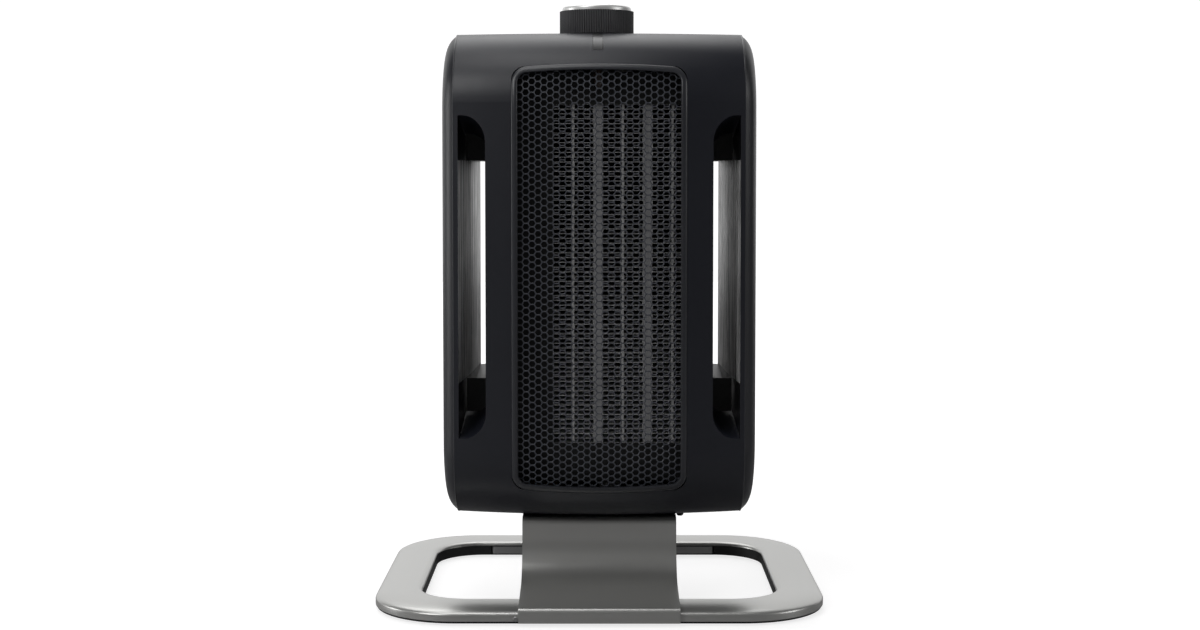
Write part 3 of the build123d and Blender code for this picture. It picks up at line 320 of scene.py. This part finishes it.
LAMP = Finish("lamp_glass", (0.05, 0.035, 0.03), (0.08, 0.055, 0.045), 0.15, 0.05, coat=0.6)
FINS = Finish("fin_aluminium", (0.60, 0.60, 0.60), (0.80, 0.80, 0.80),
              0.45, 0.15, 0.5, Grain.DRAWN, 0.2)
RODS = Finish("rod_aluminium", (0.40, 0.40, 0.41), (0.52, 0.52, 0.53),
              0.45, 0.15, 0.4, Grain.DRAWN, 0.2)
FRAME = Finish("heat_proof_black", (0.0045, 0.0046, 0.0050), (0.0080, 0.0082, 0.0088),
               0.6, 0.08, 0, Grain.SOFT, 0.2)
DUCT = Finish("duct_black", (0.0040, 0.0041, 0.0045), (0.0075, 0.0077, 0.0082),
              0.6, 0.10, 0, Grain.SOFT, 0.2)
FOAM = Finish("filter_foam", (0.0035, 0.0035, 0.0038), (0.0070, 0.0070, 0.0074),
              0.9, 0.05, 0, Grain.SOFT, 0.5)
PLATES = Finish("plate_aluminium", (0.62, 0.62, 0.62), (0.78, 0.78, 0.78),
                0.4, 0.1, 0.5, Grain.DRAWN, 0.2)
# Painted reflection on the black plastic slot walls: streaks from near black to silver stand in for
# mirrored white; the walls are not metal.
SLOT_REFLECTION = Finish("slot_wall_painted_reflection", (0.006, 0.0065, 0.008), (0.86, 0.86, 0.86),
              0.38, 0.20, 0.2, Grain.STREAK, 0.5,
              band=(128 * MM, 252.5 * MM))
CORE = Finish("motor_core", (0.16, 0.16, 0.165), (0.28, 0.28, 0.29),
              0.5, 0.15, 0.9, Grain.DRAWN, 0.4)
WINDING = Finish("winding_tape", (0.28, 0.085, 0.020), (0.42, 0.14, 0.04),
                 0.4, 0.10, 0, Grain.DRAWN, 0.5)
BRONZE = Finish("sintered_bronze", (0.36, 0.22, 0.07), (0.52, 0.34, 0.13),
                0.45, 0.10, 1.0, Grain.SOFT, 0.3)
NYLON = Finish("natural_nylon", (0.50, 0.48, 0.43), (0.62, 0.60, 0.54),
               0.5, 0.08, 0, Grain.SOFT, 0.15)

NODE_FINISH = {
    HOUSING: ("front_shell", "rear_shell"),
    COVER: ("left_side_cover", "right_side_cover"),
    BEZEL_HIGHLIGHT: ("grille_bezel",),
    HONEYCOMB_HIGHLIGHT: ("grille_mesh",),
    INTAKE: ("intake_grille", "cable_gland"),
    STAND: ("base_ring", "stand_strap"),
    STEEL: ("ballast_bar", "base_screws", "strap_rivet", "clamp_plate", "stand_screws", "shell_screws",
            "frame_screws", "motor_shaft", "bearing_bridges", "motor_screws", "switch_nut", "knob_shaft",
            "tilt_pendulum"),
    SKIRT: ("base_skirt",),
    RUBBER: ("rubber_feet", "strap_gasket", "underside_bumper"),
    KNOB: ("control_knob",),
    CAP: ("knob_cap",),
    LENS: ("pilot_lens",),
    LAMP: ("pilot_lamp",),
    FINS: ("fin_packs",),
    RODS: ("heating_rods",),
    PLATES: ("electrode_plates",),
    SLOT_REFLECTION: (),
    FRAME: ("heater_frame",),
    DUCT: ("air_scroll", "impeller"),
    FOAM: (),
    CORE: ("motor_stator", "motor_rotor"),
    WINDING: ("motor_coil",),
    BRONZE: ("top_bush",),
    NYLON: ("thermal_cutout", "selector_switch", "tilt_switch_case", "terminal_block"),
}
MATERIALS = {finish: finish.material() for finish in NODE_FINISH}


def node_object(node: str) -> Any:
    """The Blender object of a CAD node."""
    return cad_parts[node]


def dress(piece: Any, finish: Finish) -> None:
    """Give a piece or a CAD node one finish."""
    piece.data.materials.clear()
    piece.data.materials.append(MATERIALS[finish])


def deselect() -> None:
    """Leave edit mode and clear the selection."""
    if bpy.context.object and bpy.context.object.mode != "OBJECT":
        bpy.ops.object.mode_set(mode="OBJECT")
    bpy.ops.object.select_all(action="DESELECT")


def activate(piece: Any) -> None:
    """Make one piece the only selected and active one."""
    deselect()
    piece.select_set(True)
    bpy.context.view_layer.objects.active = piece


def newest(name: str) -> Any:
    """Name the object that an operator has just made.

    Args:
        name: name for the object and its mesh.

    Returns:
        The object.
    """
    piece = bpy.context.object
    piece.name = name
    piece.data.name = name
    return piece


def place(piece: Any) -> None:
    """Put a piece's place into its mesh, with its object at the origin."""
    activate(piece)
    bpy.ops.object.transform_apply(location=True, rotation=True, scale=True)


def finish_with(piece: Any, kind: str, **settings: Any) -> None:
    """Add one modifier with its settings and apply it.

    Args:
        piece: the piece.
        kind: type of the modifier.
        settings: the modifier's settings by name.
    """
    activate(piece)
    modifier = piece.modifiers.new(kind.title(), kind)
    for key, value in settings.items():
        setattr(modifier, key, value)
    bpy.ops.object.modifier_apply(modifier=modifier.name)


def cube(name: str, middle: tuple, size: tuple) -> Any:
    """Add a cube of one size at its place.

    Args:
        name: name of the piece.
        middle: its middle.
        size: its size along each axis.

    Returns:
        The piece.
    """
    deselect()
    bpy.ops.mesh.primitive_cube_add(size=1, location=middle)
    piece = newest(name)
    piece.scale = size
    place(piece)
    return piece


def join(name: str, pieces: list) -> Any:
    """Join pieces into the last of them.

    Args:
        name: name of the joined piece.
        pieces: the pieces.

    Returns:
        The joined piece.
    """
    activate(pieces[-1])
    for piece in pieces:
        piece.select_set(True)
    bpy.ops.object.join()
    return newest(name)


def select_all() -> None:
    """Select the whole mesh in edit mode."""
    bpy.ops.mesh.select_all(action="SELECT")


def point_outwards() -> None:
    """Turn the selected faces outwards in edit mode."""
    bpy.ops.mesh.normals_make_consistent(inside=False)


def repeat(piece: Any, count: int, step: tuple) -> None:
    """Repeat a piece's mesh at even steps.

    Args:
        piece: the piece.
        count: number of copies, with the first.
        step: place of each copy from the one before.
    """
    finish_with(piece, "ARRAY", count=count, use_relative_offset=False, use_constant_offset=True,
                constant_offset_displace=step)


def edit(piece: Any, *steps: Callable[[], Any]) -> None:
    """Run operators in edit mode on everything that is selected there.

    Args:
        piece: the piece.
        steps: the operators, in turn.
    """
    activate(piece)
    bpy.ops.object.mode_set(mode="EDIT")
    for step in steps:
        step()
    bpy.ops.object.mode_set(mode="OBJECT")


def pick_faces(piece: Any, wanted: Callable[[Any], bool]) -> None:
    """Select the faces of a piece that a test accepts, in object mode.

    Args:
        piece: the piece.
        wanted: the test on one face.
    """
    mesh = piece.data
    for vertex in mesh.vertices:
        vertex.select = False
    for edge in mesh.edges:
        edge.select = False
    for face in mesh.polygons:
        face.select = wanted(face)


def reshape(piece: Any, move: Callable[[Vector], Iterable[float]]) -> None:
    """Move every point of a piece by a formula.

    Args:
        piece: the piece.
        move: the formula from a point to its new place.
    """
    for vertex in piece.data.vertices:
        vertex.co = Vector(move(vertex.co))
    piece.data.update()


def smooth(piece: Any, angle: float = 35.0) -> None:
    """Smooth the shading below an edge angle in degrees.

    Args:
        piece: the piece.
        angle: the angle in degrees.
    """
    activate(piece)
    bpy.ops.object.shade_smooth_by_angle(angle=radians(angle))


def settle(piece: Any, body: str, slot: str, finish: Finish, *nodes: str) -> None:
    """Dress a new piece, ride it on its body and hide the nodes that it stands for.

    Args:
        piece: the piece.
        body: body that it moves with.
        slot: not used.
        finish: its finish.
        nodes: CAD nodes that it stands for.
    """
    dress(piece, finish)
    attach(piece, body)
    if nodes:
        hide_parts(*nodes)
    log.info("%s: %d faces", piece.name, len(piece.data.polygons))


def rounded_loop(half: float, high: float, corner: float, arc: int, run: int) -> list:
    """Points of a rounded rectangle.

    Args:
        half: half its width.
        high: half its height.
        corner: corner radius.
        arc: steps round each corner.
        run: points inside each straight side.

    Returns:
        The points, in turn from the right side.
    """
    arcs = [[(right * (half - corner) + corner * cos(pi / 2 * (quarter + step / arc)),
              up * (high - corner) + corner * sin(pi / 2 * (quarter + step / arc)))
             for step in range(arc + 1)]
            for quarter, (right, up) in enumerate(((1, 1), (-1, 1), (-1, -1), (1, -1)))]
    loop = []
    for quarter, points in enumerate(arcs):
        (x0, z0), (x1, z1) = points[-1], arcs[(quarter + 1) % 4][0]
        shares = [step / (run + 1) for step in range(1, run + 1)]
        loop += points + [(x0 + (x1 - x0) * share, z0 + (z1 - z0) * share) for share in shares]
    return loop


def closed_band(name: str, loops: list) -> Any:
    """Wrap a grid round a set of loops with equal numbers of points, closed both ways.

    Args:
        name: name of the piece.
        loops: the loops, in turn round the section.

    Returns:
        The piece.
    """
    around, along = len(loops), len(loops[0])

    def wrap(point: Vector) -> tuple:
        """Place one point of the flat grid on its loop.

        Args:
            point: the point.

        Returns:
            Its place.
        """
        loop = loops[round((point.x + 1) / 2 * around) % around]
        return loop[round((point.y + 1) / 2 * along) % along]

    deselect()
    bpy.ops.mesh.primitive_grid_add(x_subdivisions=around, y_subdivisions=along, size=2)
    band = newest(name)
    reshape(band, wrap)
    edit(band, select_all,
         lambda: bpy.ops.mesh.remove_doubles(threshold=0.004 * MM),
         point_outwards)
    return band


@dataclass
class Stand:
    """The pressed base ring with its soft convex section.

    The outer and inner sections are pairs of the distance in from the edge and the height, in
    millimetres, for the outline and for the opening. The opening gives the ring's width at the
    sides, the front and the rear.
    """

    corner: float = 48 * MM
    opening: tuple = (26 * MM, 26 * MM, 32 * MM)
    opening_corner: float = 28 * MM
    sheet: float = 1.2 * MM
    outer: tuple = ((0, 2.2), (0, 5.3), (0.25, 6.0), (0.9, 6.7), (2.2, 7.35), (4.2, 7.95),
                    (6.6, 8.45), (9.4, 8.85), (12.5, 9.12), (16.5, 9.26))
    inner: tuple = ((5.0, 9.28), (3.2, 9.22), (1.9, 9.0), (0.8, 8.5), (0.2, 7.8), (0, 7.0),
                    (1.15, 7.0), (1.2, 7.6))

    def ring(self) -> Any:
        """Model the ring from loops round its outline and its opening.

        Returns:
            The piece.
        """
        low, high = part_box("base_ring")
        middle_y = (low.y + high.y) / 2
        half_x, half_y = (high.x - low.x) / 2, (high.y - low.y) / 2
        side, front, rear = self.opening
        open_x, open_y = half_x - side, half_y - (front + rear) / 2
        open_middle = middle_y + (front - rear) / 2

        def loop(half: float, deep: float, corner: float, grow: float, middle: float, up: float) -> list:
            """Loop of points at one height, larger by grow on every side.

            Args:
                half: half the width.
                deep: half the depth.
                corner: corner radius.
                grow: growth on every side.
                middle: middle of the loop along Y.
                up: height.

            Returns:
                The points.
            """
            return [(x, middle + y, up) for x, y in rounded_loop(
                half + grow, deep + grow, corner + grow, CORNER_STEPS, SIDE_POINTS)]

        outer = [loop(half_x, half_y, self.corner, -inset * MM, middle_y, up * MM)
                 for inset, up in self.outer]
        inner = [loop(open_x, open_y, self.opening_corner, grow * MM, open_middle, up * MM)
                 for grow, up in self.inner]
        under = [(x, y, z - self.sheet) for x, y, z in outer[-1]]
        share_x, share_y = 1 - self.sheet / half_x, 1 - self.sheet / half_y
        wall = [(x * share_x, middle_y + (y - middle_y) * share_y, z) for x, y, z in outer[0]]
        ring = closed_band("pressed_ring", outer + inner + [under, wall])
        smooth(ring, 70)
        settle(ring, "housing", "stand_steel", STAND, "base_ring")
        return ring


@dataclass
class Housing:
    """The bowed housing's form, read from the frame, with the pieces modelled inside and round it.

    The lip is the bezel's section: pairs of the distance outside the clear opening and the height
    above the skin, in millimetres.
    """

    bow: float = 320 * MM
    corner: float = 40 * MM
    depth: float = 130 * MM
    sheet_inset: float = 2.6 * MM
    sheet: float = 1.0 * MM
    hole_pitch: float = 3.9 * MM
    hole_share: float = 0.84
    clear_half_width: float = 45.15 * MM
    clear_corner: float = 5.0 * MM
    margin: float = 1.5 * MM
    lip: tuple = ((0, -2.5), (0, 0.1), (0.25, 0.6), (0.9, 0.85), (1.8, 0.82), (2.6, 0.68),
                  (3.15, 0.4), (3.4, 0.0), (3.42, -2.5))
    bead: float = 0.45 * MM
    bead_stretch: float = 1.2
    bead_stand: float = 0.02 * MM
    bead_sides: int = 8
    wall_range: tuple = (72 * MM, 80.5 * MM)
    wall_facing: float = 0.7
    slot_low: float = 104 * MM
    slot_high: float = 271 * MM
    web_ends: tuple = (5 * MM, 3 * MM)
    web_middle: tuple = (69 * MM, -41 * MM)
    web_width: float = 13.5 * MM
    web_sheet: float = 2 * MM
    top_arch: float = 2.0 * MM
    edge_arch_share: float = 0.4
    cell_round_share: float = 0.035
    fin_fold: float = 2.7 * MM
    fin_sheet: float = 0.45 * MM
    fin_pack_count: int = 6
    rod: float = 5.0 * MM
    plate: float = 1.0 * MM
    plate_count: int = 3
    tab: float = 5.0 * MM
    filter_margin: float = 2.6 * MM
    filter_drop: float = 14.0 * MM
    filter_depth: float = 7.2 * MM
    filter_sheet: float = 2.0 * MM

    def __post_init__(self) -> None:
        """Read the housing's box and the grille's extent from the frame."""
        low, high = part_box("front_shell")
        self.front = high.y - self.depth / 2
        self.bottom, self.top = low.z, high.z
        mesh_low, mesh_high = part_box("grille_mesh")
        self.sheet_low, self.sheet_high = mesh_low.z, mesh_high.z

    def skin(self, x: float, z: float, inset: float) -> float:
        """Y of the front surface.

        Args:
            x: place across.
            z: height.
            inset: depth inside the skin.

        Returns:
            The Y coordinate there.
        """
        flat = (self.top - self.bottom) / 2 - self.corner
        beyond = max(0.0, abs(z - (self.top + self.bottom) / 2) - flat)
        inner = self.corner - inset
        reach = sqrt(max(inner * inner - beyond * beyond, 0.0))
        radius = self.bow - self.corner + reach
        return self.front + self.bow - sqrt(radius * radius - x * x)

    def outline(self, grow: float, height: float) -> list:
        """Loop of points over the grille's outline.

        Args:
            grow: distance outside the clear opening.
            height: distance above the skin.

        Returns:
            The loop's points.
        """
        half = self.clear_half_width + grow
        high = (self.sheet_high - self.sheet_low) / 2 - self.margin - self.top_arch + grow
        corner = self.clear_corner + grow
        loop = []
        for x, z in rounded_loop(half, high, corner, 8, 22):
            arch = self.top_arch * (1 - (x / half) ** 2) if abs(z) > high - corner else 0.0
            place_z = (self.sheet_high + self.sheet_low) / 2 + z + (arch if z > 0 else -arch)
            loop.append((x, self.skin(x, place_z, -height), place_z))
        return loop

    def bezel(self) -> Any:
        """Model the bezel's raised, rounded lip round the grille.

        Returns:
            The piece.
        """
        lip = closed_band("bezel_lip", [self.outline(grow * MM, height * MM)
                                        for grow, height in self.lip])
        smooth(lip, 60)
        settle(lip, "housing", "housing_plastic", BEZEL_HIGHLIGHT, "grille_bezel")
        return lip

    def edge_beads(self) -> Any:
        """Model the fine rounded edge of the shells along both side covers.

        Returns:
            The left and the right bead.
        """
        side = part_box("front_shell")[1].x
        depth = self.depth / 2 - (self.bow - sqrt(self.bow ** 2 - side ** 2))
        middle_y, middle_z = self.front + self.depth / 2, (self.top + self.bottom) / 2
        beads = []
        for name, sign in (("left_edge_bead", 1), ("right_edge_bead", -1)):
            loops = []
            for step in range(self.bead_sides):
                turn = 2 * pi * step / self.bead_sides
                grow = self.bead * (cos(turn) - 1.0) + self.bead_stand
                across = side * sign + self.bead * sin(turn) * self.bead_stretch
                loops.append([(across, middle_y + y, middle_z + z) for y, z in rounded_loop(
                    depth + grow, (self.top - self.bottom) / 2 + grow, self.corner + grow,
                    CORNER_STEPS, SIDE_POINTS)])
            bead = closed_band(name, loops)
            smooth(bead, 60)
            # Painted highlight: the beads take the lighter bezel colour, so the shells' edge reads as a
            # thin bright line.
            settle(bead, "housing", "housing_plastic", BEZEL_HIGHLIGHT)
            beads.append(bead)
        return beads

    def slot_wall(self, face: Any) -> bool:
        """Whether a face of a shell is a hand slot's outer wall.

        Args:
            face: the face.

        Returns:
            True for the outer wall.
        """
        x, z = face.center.x, face.center.z
        inwards = face.normal.x * x < 0 and abs(face.normal.x) > self.wall_facing
        near, far = self.wall_range
        return inwards and near < abs(x) < far and self.slot_low < z < self.slot_high

    def slot_walls(self) -> None:
        """Give the hand slots' outer walls the painted streaked reflection."""
        for node in ("front_shell", "rear_shell"):
            piece = node_object(node)
            piece.data.materials.append(MATERIALS[SLOT_REFLECTION])
            for face in piece.data.polygons:
                if self.slot_wall(face):
                    face.material_index = 1
            log.info("%s: %s on the slots' walls", node, SLOT_REFLECTION.name)

    def slot_webs(self) -> None:
        """Close the back of the hand slots above and below what is seen through."""
        across, deep = self.web_middle
        below, above = self.web_ends
        open_low, open_high = SLOT_REFLECTION.band
        spans = ((self.slot_low + below, open_low), (open_high, self.slot_high - above))
        for name, sign in (("left_slot_webs", -1), ("right_slot_webs", 1)):
            webs = [cube(name, (sign * across, deep, (low + high) / 2),
                         (self.web_width, self.web_sheet, high - low)) for low, high in spans]
            settle(join(name, webs), "housing", "housing_plastic", DUCT)

    def honeycomb(self) -> Any:
        """Model the honeycomb sheet from one cell, copied over the grille and bowed to the skin.

        Returns:
            The piece.
        """
        cell_radius = self.hole_pitch / sqrt(3)
        column = 1.5 * cell_radius
        columns = int((self.clear_half_width + self.margin / 2) / column)
        rows = int((self.sheet_high - self.sheet_low) / self.hole_pitch) + 1
        middle = (self.sheet_low + self.sheet_high) / 2
        deselect()
        bpy.ops.mesh.primitive_circle_add(vertices=6, radius=cell_radius, fill_type="NGON",
                                          rotation=(pi / 2, 0, 0))
        sheet = newest("honeycomb_sheet")
        place(sheet)
        across, up = cos(pi / 6), sin(pi / 6)
        reshape(sheet, lambda p: (p.x * across - p.z * up, 0, p.x * up + p.z * across))
        edit(sheet, select_all,
             lambda: bpy.ops.mesh.inset(thickness=self.hole_pitch * (1 - self.hole_share) / 2),
             lambda: bpy.ops.mesh.delete(type="FACE"))
        left = -columns * column
        base = middle - (rows // 2) * self.hole_pitch
        reshape(sheet, lambda p: (p.x + left, 0, p.z + base))
        repeat(sheet, rows, (0, 0, self.hole_pitch))
        activate(sheet)
        bpy.ops.object.duplicate()
        odd = newest("odd_columns")
        reshape(odd, lambda p: (p.x + column, 0, p.z + self.hole_pitch / 2))
        repeat(sheet, columns + 1, (2 * column, 0, 0))
        repeat(odd, columns, (2 * column, 0, 0))
        sheet = join("honeycomb_sheet", [odd, sheet])
        edit(sheet, select_all, lambda: bpy.ops.mesh.remove_doubles(threshold=self.hole_pitch / 60))
        edge = self.top_arch * self.edge_arch_share
        pick_faces(sheet, lambda f: not self.sheet_low + edge < f.center.z < self.sheet_high - edge)
        edit(sheet, lambda: bpy.ops.mesh.delete(type="FACE"))
        inset = self.sheet_inset + self.sheet
        reshape(sheet, lambda p: (p.x, self.skin(p.x, p.z, inset), p.z))
        edit(sheet, select_all, point_outwards)
        front = sum(face.normal.y * face.area for face in sheet.data.polygons)
        if front > 0:
            edit(sheet, select_all, bpy.ops.mesh.flip_normals)
        finish_with(sheet, "SOLIDIFY", thickness=self.sheet, offset=1.0)
        finish_with(sheet, "BEVEL", width=self.hole_pitch * self.cell_round_share, segments=1,
                    limit_method="ANGLE", angle_limit=radians(50))
        smooth(sheet, 40)
        settle(sheet, "housing", "grille_plastic", HONEYCOMB_HIGHLIGHT, "grille_mesh")
        return sheet

    def electrodes(self) -> Any:
        """Model the electrode plates as thin strips; all but the last have a tab below the element.

        Returns:
            The piece.
        """
        low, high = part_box("electrode_plates")
        rods_low, rods_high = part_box("heating_rods")
        pitch = (high.x - low.x - self.plate) / (self.plate_count - 1)
        strips = []
        for index in range(self.plate_count):
            tab = self.tab if index < self.plate_count - 1 else 0.0
            strips.append(cube(
                "electrode_strips",
                (low.x + self.plate / 2 + index * pitch, (rods_low.y + rods_high.y) / 2,
                 (rods_low.z + rods_high.z - tab) / 2),
                (self.plate, rods_high.y - rods_low.y, rods_high.z - rods_low.z + tab)))
        joined = join("electrode_strips", strips)
        settle(joined, "housing", "element_aluminium", PLATES, "electrode_plates")
        return joined

    def dust_filter(self) -> Any:
        """Lay a thin foam sheet behind the rear slats, bowed like the wall that it rests on.

        Returns:
            The piece.
        """
        low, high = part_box("intake_grille")
        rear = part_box("rear_shell")[1].y
        deselect()
        bpy.ops.mesh.primitive_grid_add(x_subdivisions=24, y_subdivisions=2, size=1)
        sheet = newest("dust_filter")
        width = high.x - low.x - 2 * self.filter_margin
        height = high.z - low.z + self.filter_drop
        middle = (low.z + high.z - self.filter_drop) / 2
        radius = self.bow - self.filter_depth

        def lay(point: Vector) -> tuple:
            """Place one point of the flat sheet behind the bowed wall.

            Args:
                point: the point.

            Returns:
                Its place.
            """
            x = point.x * width
            return (x, rear - self.bow + sqrt(radius ** 2 - x ** 2), middle + point.y * height)

        reshape(sheet, lay)
        finish_with(sheet, "SOLIDIFY", thickness=self.filter_sheet, offset=0.0)
        settle(sheet, "housing", "duct_plastic", FOAM)
        return sheet

    def fins(self) -> Any:
        """Model each corrugated fin pack as one folded ribbon between the rods and plates.

        Returns:
            The joined piece.
        """
        low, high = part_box("fin_packs")
        rods = self.fin_pack_count // 2 - 1
        plates = self.fin_pack_count // 2
        pack = (high.x - low.x - plates * self.plate - rods * self.rod) / self.fin_pack_count
        starts = [low.x + index * pack + (index + 1) // 2 * self.plate + index // 2 * self.rod
                  for index in range(self.fin_pack_count)]
        folds = int((high.z - low.z) / self.fin_fold)
        step = (high.z - low.z - self.fin_sheet) / folds
        ribbons = []
        for start in starts:
            deselect()
            bpy.ops.mesh.primitive_grid_add(x_subdivisions=1, y_subdivisions=2 * folds + 1, size=2)
            ribbon = newest("fin_ribbon")
            inner, outer = start + self.fin_sheet / 2, start + pack - self.fin_sheet / 2

            def lay(point: Vector) -> tuple:
                """Place one point of the flat strip on the folded ribbon.

                Args:
                    point: the point.

                Returns:
                    Its place.
                """
                index = round((point.y + 1) / 2 * (2 * folds + 1))
                across = inner if ((index + 1) // 2) % 2 == 0 else outer
                return (across, low.y if point.x < 0 else high.y,
                        low.z + self.fin_sheet / 2 + (index // 2) * step)

            reshape(ribbon, lay)
            ribbons.append(ribbon)
        fins = join("corrugated_fins", ribbons)
        edit(fins, select_all,
             lambda: bpy.ops.mesh.remove_doubles(threshold=self.fin_sheet / 10),
             point_outwards)
        finish_with(fins, "SOLIDIFY", thickness=self.fin_sheet, offset=0.0)
        settle(fins, "housing", "element_aluminium", FINS, "fin_packs")
        return fins


@dataclass
class Knob:
    """The ribbed grip of the control knob, modelled over its CAD node."""

    ribs: int = 96
    rib_depth: float = 0.4 * MM
    edge_round: float = 0.2 * MM
    cap_gap: float = 0.12 * MM
    wall: float = 2.4 * MM
    hollow: float = 0.75

    def grip(self) -> Any:
        """Model the grip: a turned blank with valleys between its ribs and a recess in each end.

        Returns:
            The piece.
        """
        low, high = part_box("control_knob")
        centre = (low + high) / 2
        radius = (high.x - low.x) / 2
        step = pi / (2 * self.ribs)
        deselect()
        bpy.ops.mesh.primitive_cylinder_add(vertices=4 * self.ribs, radius=radius, depth=high.z - low.z,
                                            location=centre)
        grip = newest("knob_grip")
        place(grip)

        def rib(point: Vector) -> tuple:
            """Draw every second pair of points in to the valley between two ribs.

            Args:
                point: the point.

            Returns:
                Its place.
            """
            out = point - centre
            valley = round(atan2(out.y, out.x) / step) % 4 < 2
            share = 1 - self.rib_depth / radius if valley else 1
            return (centre.x + out.x * share, centre.y + out.y * share, point.z)

        reshape(grip, rib)
        cap_low, cap_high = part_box("knob_cap")
        rim = radius - (cap_high.x - cap_low.x) / 2 - self.cap_gap
        for end, border, depth in ((high.z, rim, cap_low.z - high.z),
                                   (low.z, self.wall, (high.z - low.z) * self.hollow)):
            pick_faces(grip, lambda f: len(f.vertices) > 4 and abs(f.center.z - end) < self.cap_gap)
            edit(grip, lambda: bpy.ops.mesh.inset(thickness=border),
                 lambda: bpy.ops.mesh.extrude_region_move(TRANSFORM_OT_translate={"value": (0, 0, depth)}))
        finish_with(grip, "BEVEL", width=self.edge_round, segments=2, limit_method="ANGLE",
                    angle_limit=radians(40))
        smooth(grip, 30)
        settle(grip, "knob", "knob_plastic", KNOB, "control_knob")
        return grip


@dataclass
class Studio:
    """White studio: floor, soft lamps, pale world and the camera at the photograph's angle."""

    eye: tuple = (0.0004, -1.0775, 0.250)
    focal: float = 54.5
    tilt: float = 2.92
    drop: float = -0.048
    sensor: float = 36.0
    ambient: float = 0.11
    aim: tuple = (0, 0, 0.17)
    # near and reach: the painted shade on the floor fades out between these distances from the heater.
    near: float = 0.16
    reach: float = 0.6
    matt: float = 0.6
    floor_size: float = 8.0
    floor_drop: float = 0.4 * MM
    backdrop_size: float = 7.0
    backdrop_place: tuple = (0, 2.8, 2.5)
    lamps: list = field(default_factory=lambda: [
        ("key_left", (-1.15, -1.25, 1.25), 0.9, 12.0),
        ("fill_right", (1.6, -0.5, 0.7), 0.7, 5.0),
        ("rim_top", (-0.25, 0.8, 1.6), 1.2, 8.0),
        ("overhead", (-0.30, -0.35, 1.5), 0.7, 4.5),
        ("side_left", (-1.5, 0.15, 0.35), 0.6, 4.5),
    ])

    def camera(self) -> None:
        """Place the camera above half height, tilted down, with its frame dropped a little."""
        data = bpy.data.cameras.new("camera")
        data.lens = self.focal
        data.sensor_width = self.sensor
        data.shift_y = self.drop
        camera = bpy.data.objects.new("camera", data)
        camera.location = self.eye
        camera.rotation_euler = (radians(90 - self.tilt), 0, 0)
        bpy.context.scene.collection.objects.link(camera)
        bpy.context.scene.camera = camera

    def light(self) -> None:
        """Place the lamps, aimed at the middle of the heater."""
        for name, spot, size, power in self.lamps:
            data = bpy.data.lights.new(name, "AREA")
            data.size = size
            data.energy = power
            lamp = bpy.data.objects.new(name, data)
            lamp.location = spot
            lamp.rotation_euler = (Vector(self.aim) - Vector(spot)).to_track_quat("-Z", "Y").to_euler()
            bpy.context.scene.collection.objects.link(lamp)

    def seen_directly(self, maker: NodeMaker, mirrored: bool = False) -> Sock:
        """1 where the camera looks straight at the surface, else 0.

        Args:
            maker: maker of the material or world.
            mirrored: whether reflections count too.

        Returns:
            The factor.
        """
        seen = maker.node("ShaderNodeLightPath", {}, {}, "Is Camera Ray")
        return seen + maker.node("ShaderNodeLightPath", {}, {}, "Is Glossy Ray") if mirrored else seen

    def world(self) -> None:
        """White to the eye, dimmer as a light and in reflections."""
        world = bpy.data.worlds.new("studio_world")
        bpy.context.scene.world = world
        world.use_nodes = True
        maker = NodeMaker(world.node_tree)
        background = maker.tree.nodes.new("ShaderNodeBackground")
        background.inputs["Color"].default_value = (1, 1, 1, 1)
        maker.feed(background.inputs["Strength"],
                   self.seen_directly(maker) * (1 - self.ambient) + self.ambient)
        output = maker.tree.nodes.new("ShaderNodeOutputWorld")
        maker.tree.links.new(background.outputs[0], output.inputs["Surface"])

    def white(self, name: str, lit: float, glow: float, mirrored: bool = False) -> Any:
        """White surface that looks pale to the eye and still takes a shadow.

        Args:
            name: material name.
            lit: base colour's level.
            glow: extra level for what looks at it directly, near the heater; further out it rises to full
                white, so below 1 the surface near the heater is darker: painted shade.
            mirrored: whether reflections see that level too.

        Returns:
            The material.
        """
        maker = MaterialMaker(name)
        seen = self.seen_directly(maker, mirrored)
        shader = maker.shader.inputs
        shader["Base Color"].default_value = (lit, lit * 0.99, lit, 1)
        shader["Roughness"].default_value = self.matt
        shader["Emission Strength"].default_value = 1.0
        # Painted shade: the glow is weaker near the heater's middle, so the floor reads greyer round it,
        # besides the shadows the lamps cast.
        level = maker.far(self.near, self.reach) * (1 - glow) + glow
        maker.feed(shader["Emission Color"], maker.blend((0, 0, 0), (1, 1, 1), seen * level))
        return maker.material

    def backdrop(self) -> None:
        """Stand a white sheet far behind the heater."""
        deselect()
        bpy.ops.mesh.primitive_grid_add(x_subdivisions=4, y_subdivisions=4, size=self.backdrop_size,
                                        location=self.backdrop_place, rotation=(pi / 2, 0, 0))
        sheet = newest("studio_backdrop")
        place(sheet)
        sheet.data.materials.append(self.white("backdrop_white", 0.3, 1.0, True))

    def floor(self) -> None:
        """Lay the white floor under the feet."""
        deselect()
        bpy.ops.mesh.primitive_grid_add(x_subdivisions=4, y_subdivisions=4, size=self.floor_size,
                                        location=(0, 0, -self.floor_drop))
        floor = newest("studio_floor")
        place(floor)
        # Painted shade: the floor's glow is dimmer near the heater.
        floor.data.materials.append(self.white("floor_white", 0.34, 0.78))


def main() -> None:
    """Dress the CAD nodes, then build the modelled pieces and the studio in order."""
    for finish, nodes in NODE_FINISH.items():
        for node in nodes:
            dress(node_object(node), finish)
            log.info("%s: %s", node, finish.name)
    housing = Housing()
    housing.honeycomb()
    housing.bezel()
    housing.edge_beads()
    housing.slot_walls()
    housing.slot_webs()
    housing.fins()
    housing.electrodes()
    housing.dust_filter()
    Stand().ring()
    Knob().grip()
    studio = Studio()
    studio.floor()
    studio.backdrop()
    studio.light()
    studio.world()
    studio.camera()
    bpy.context.scene.view_settings.view_transform = "Standard"


if __name__ == "__main__":
    main()
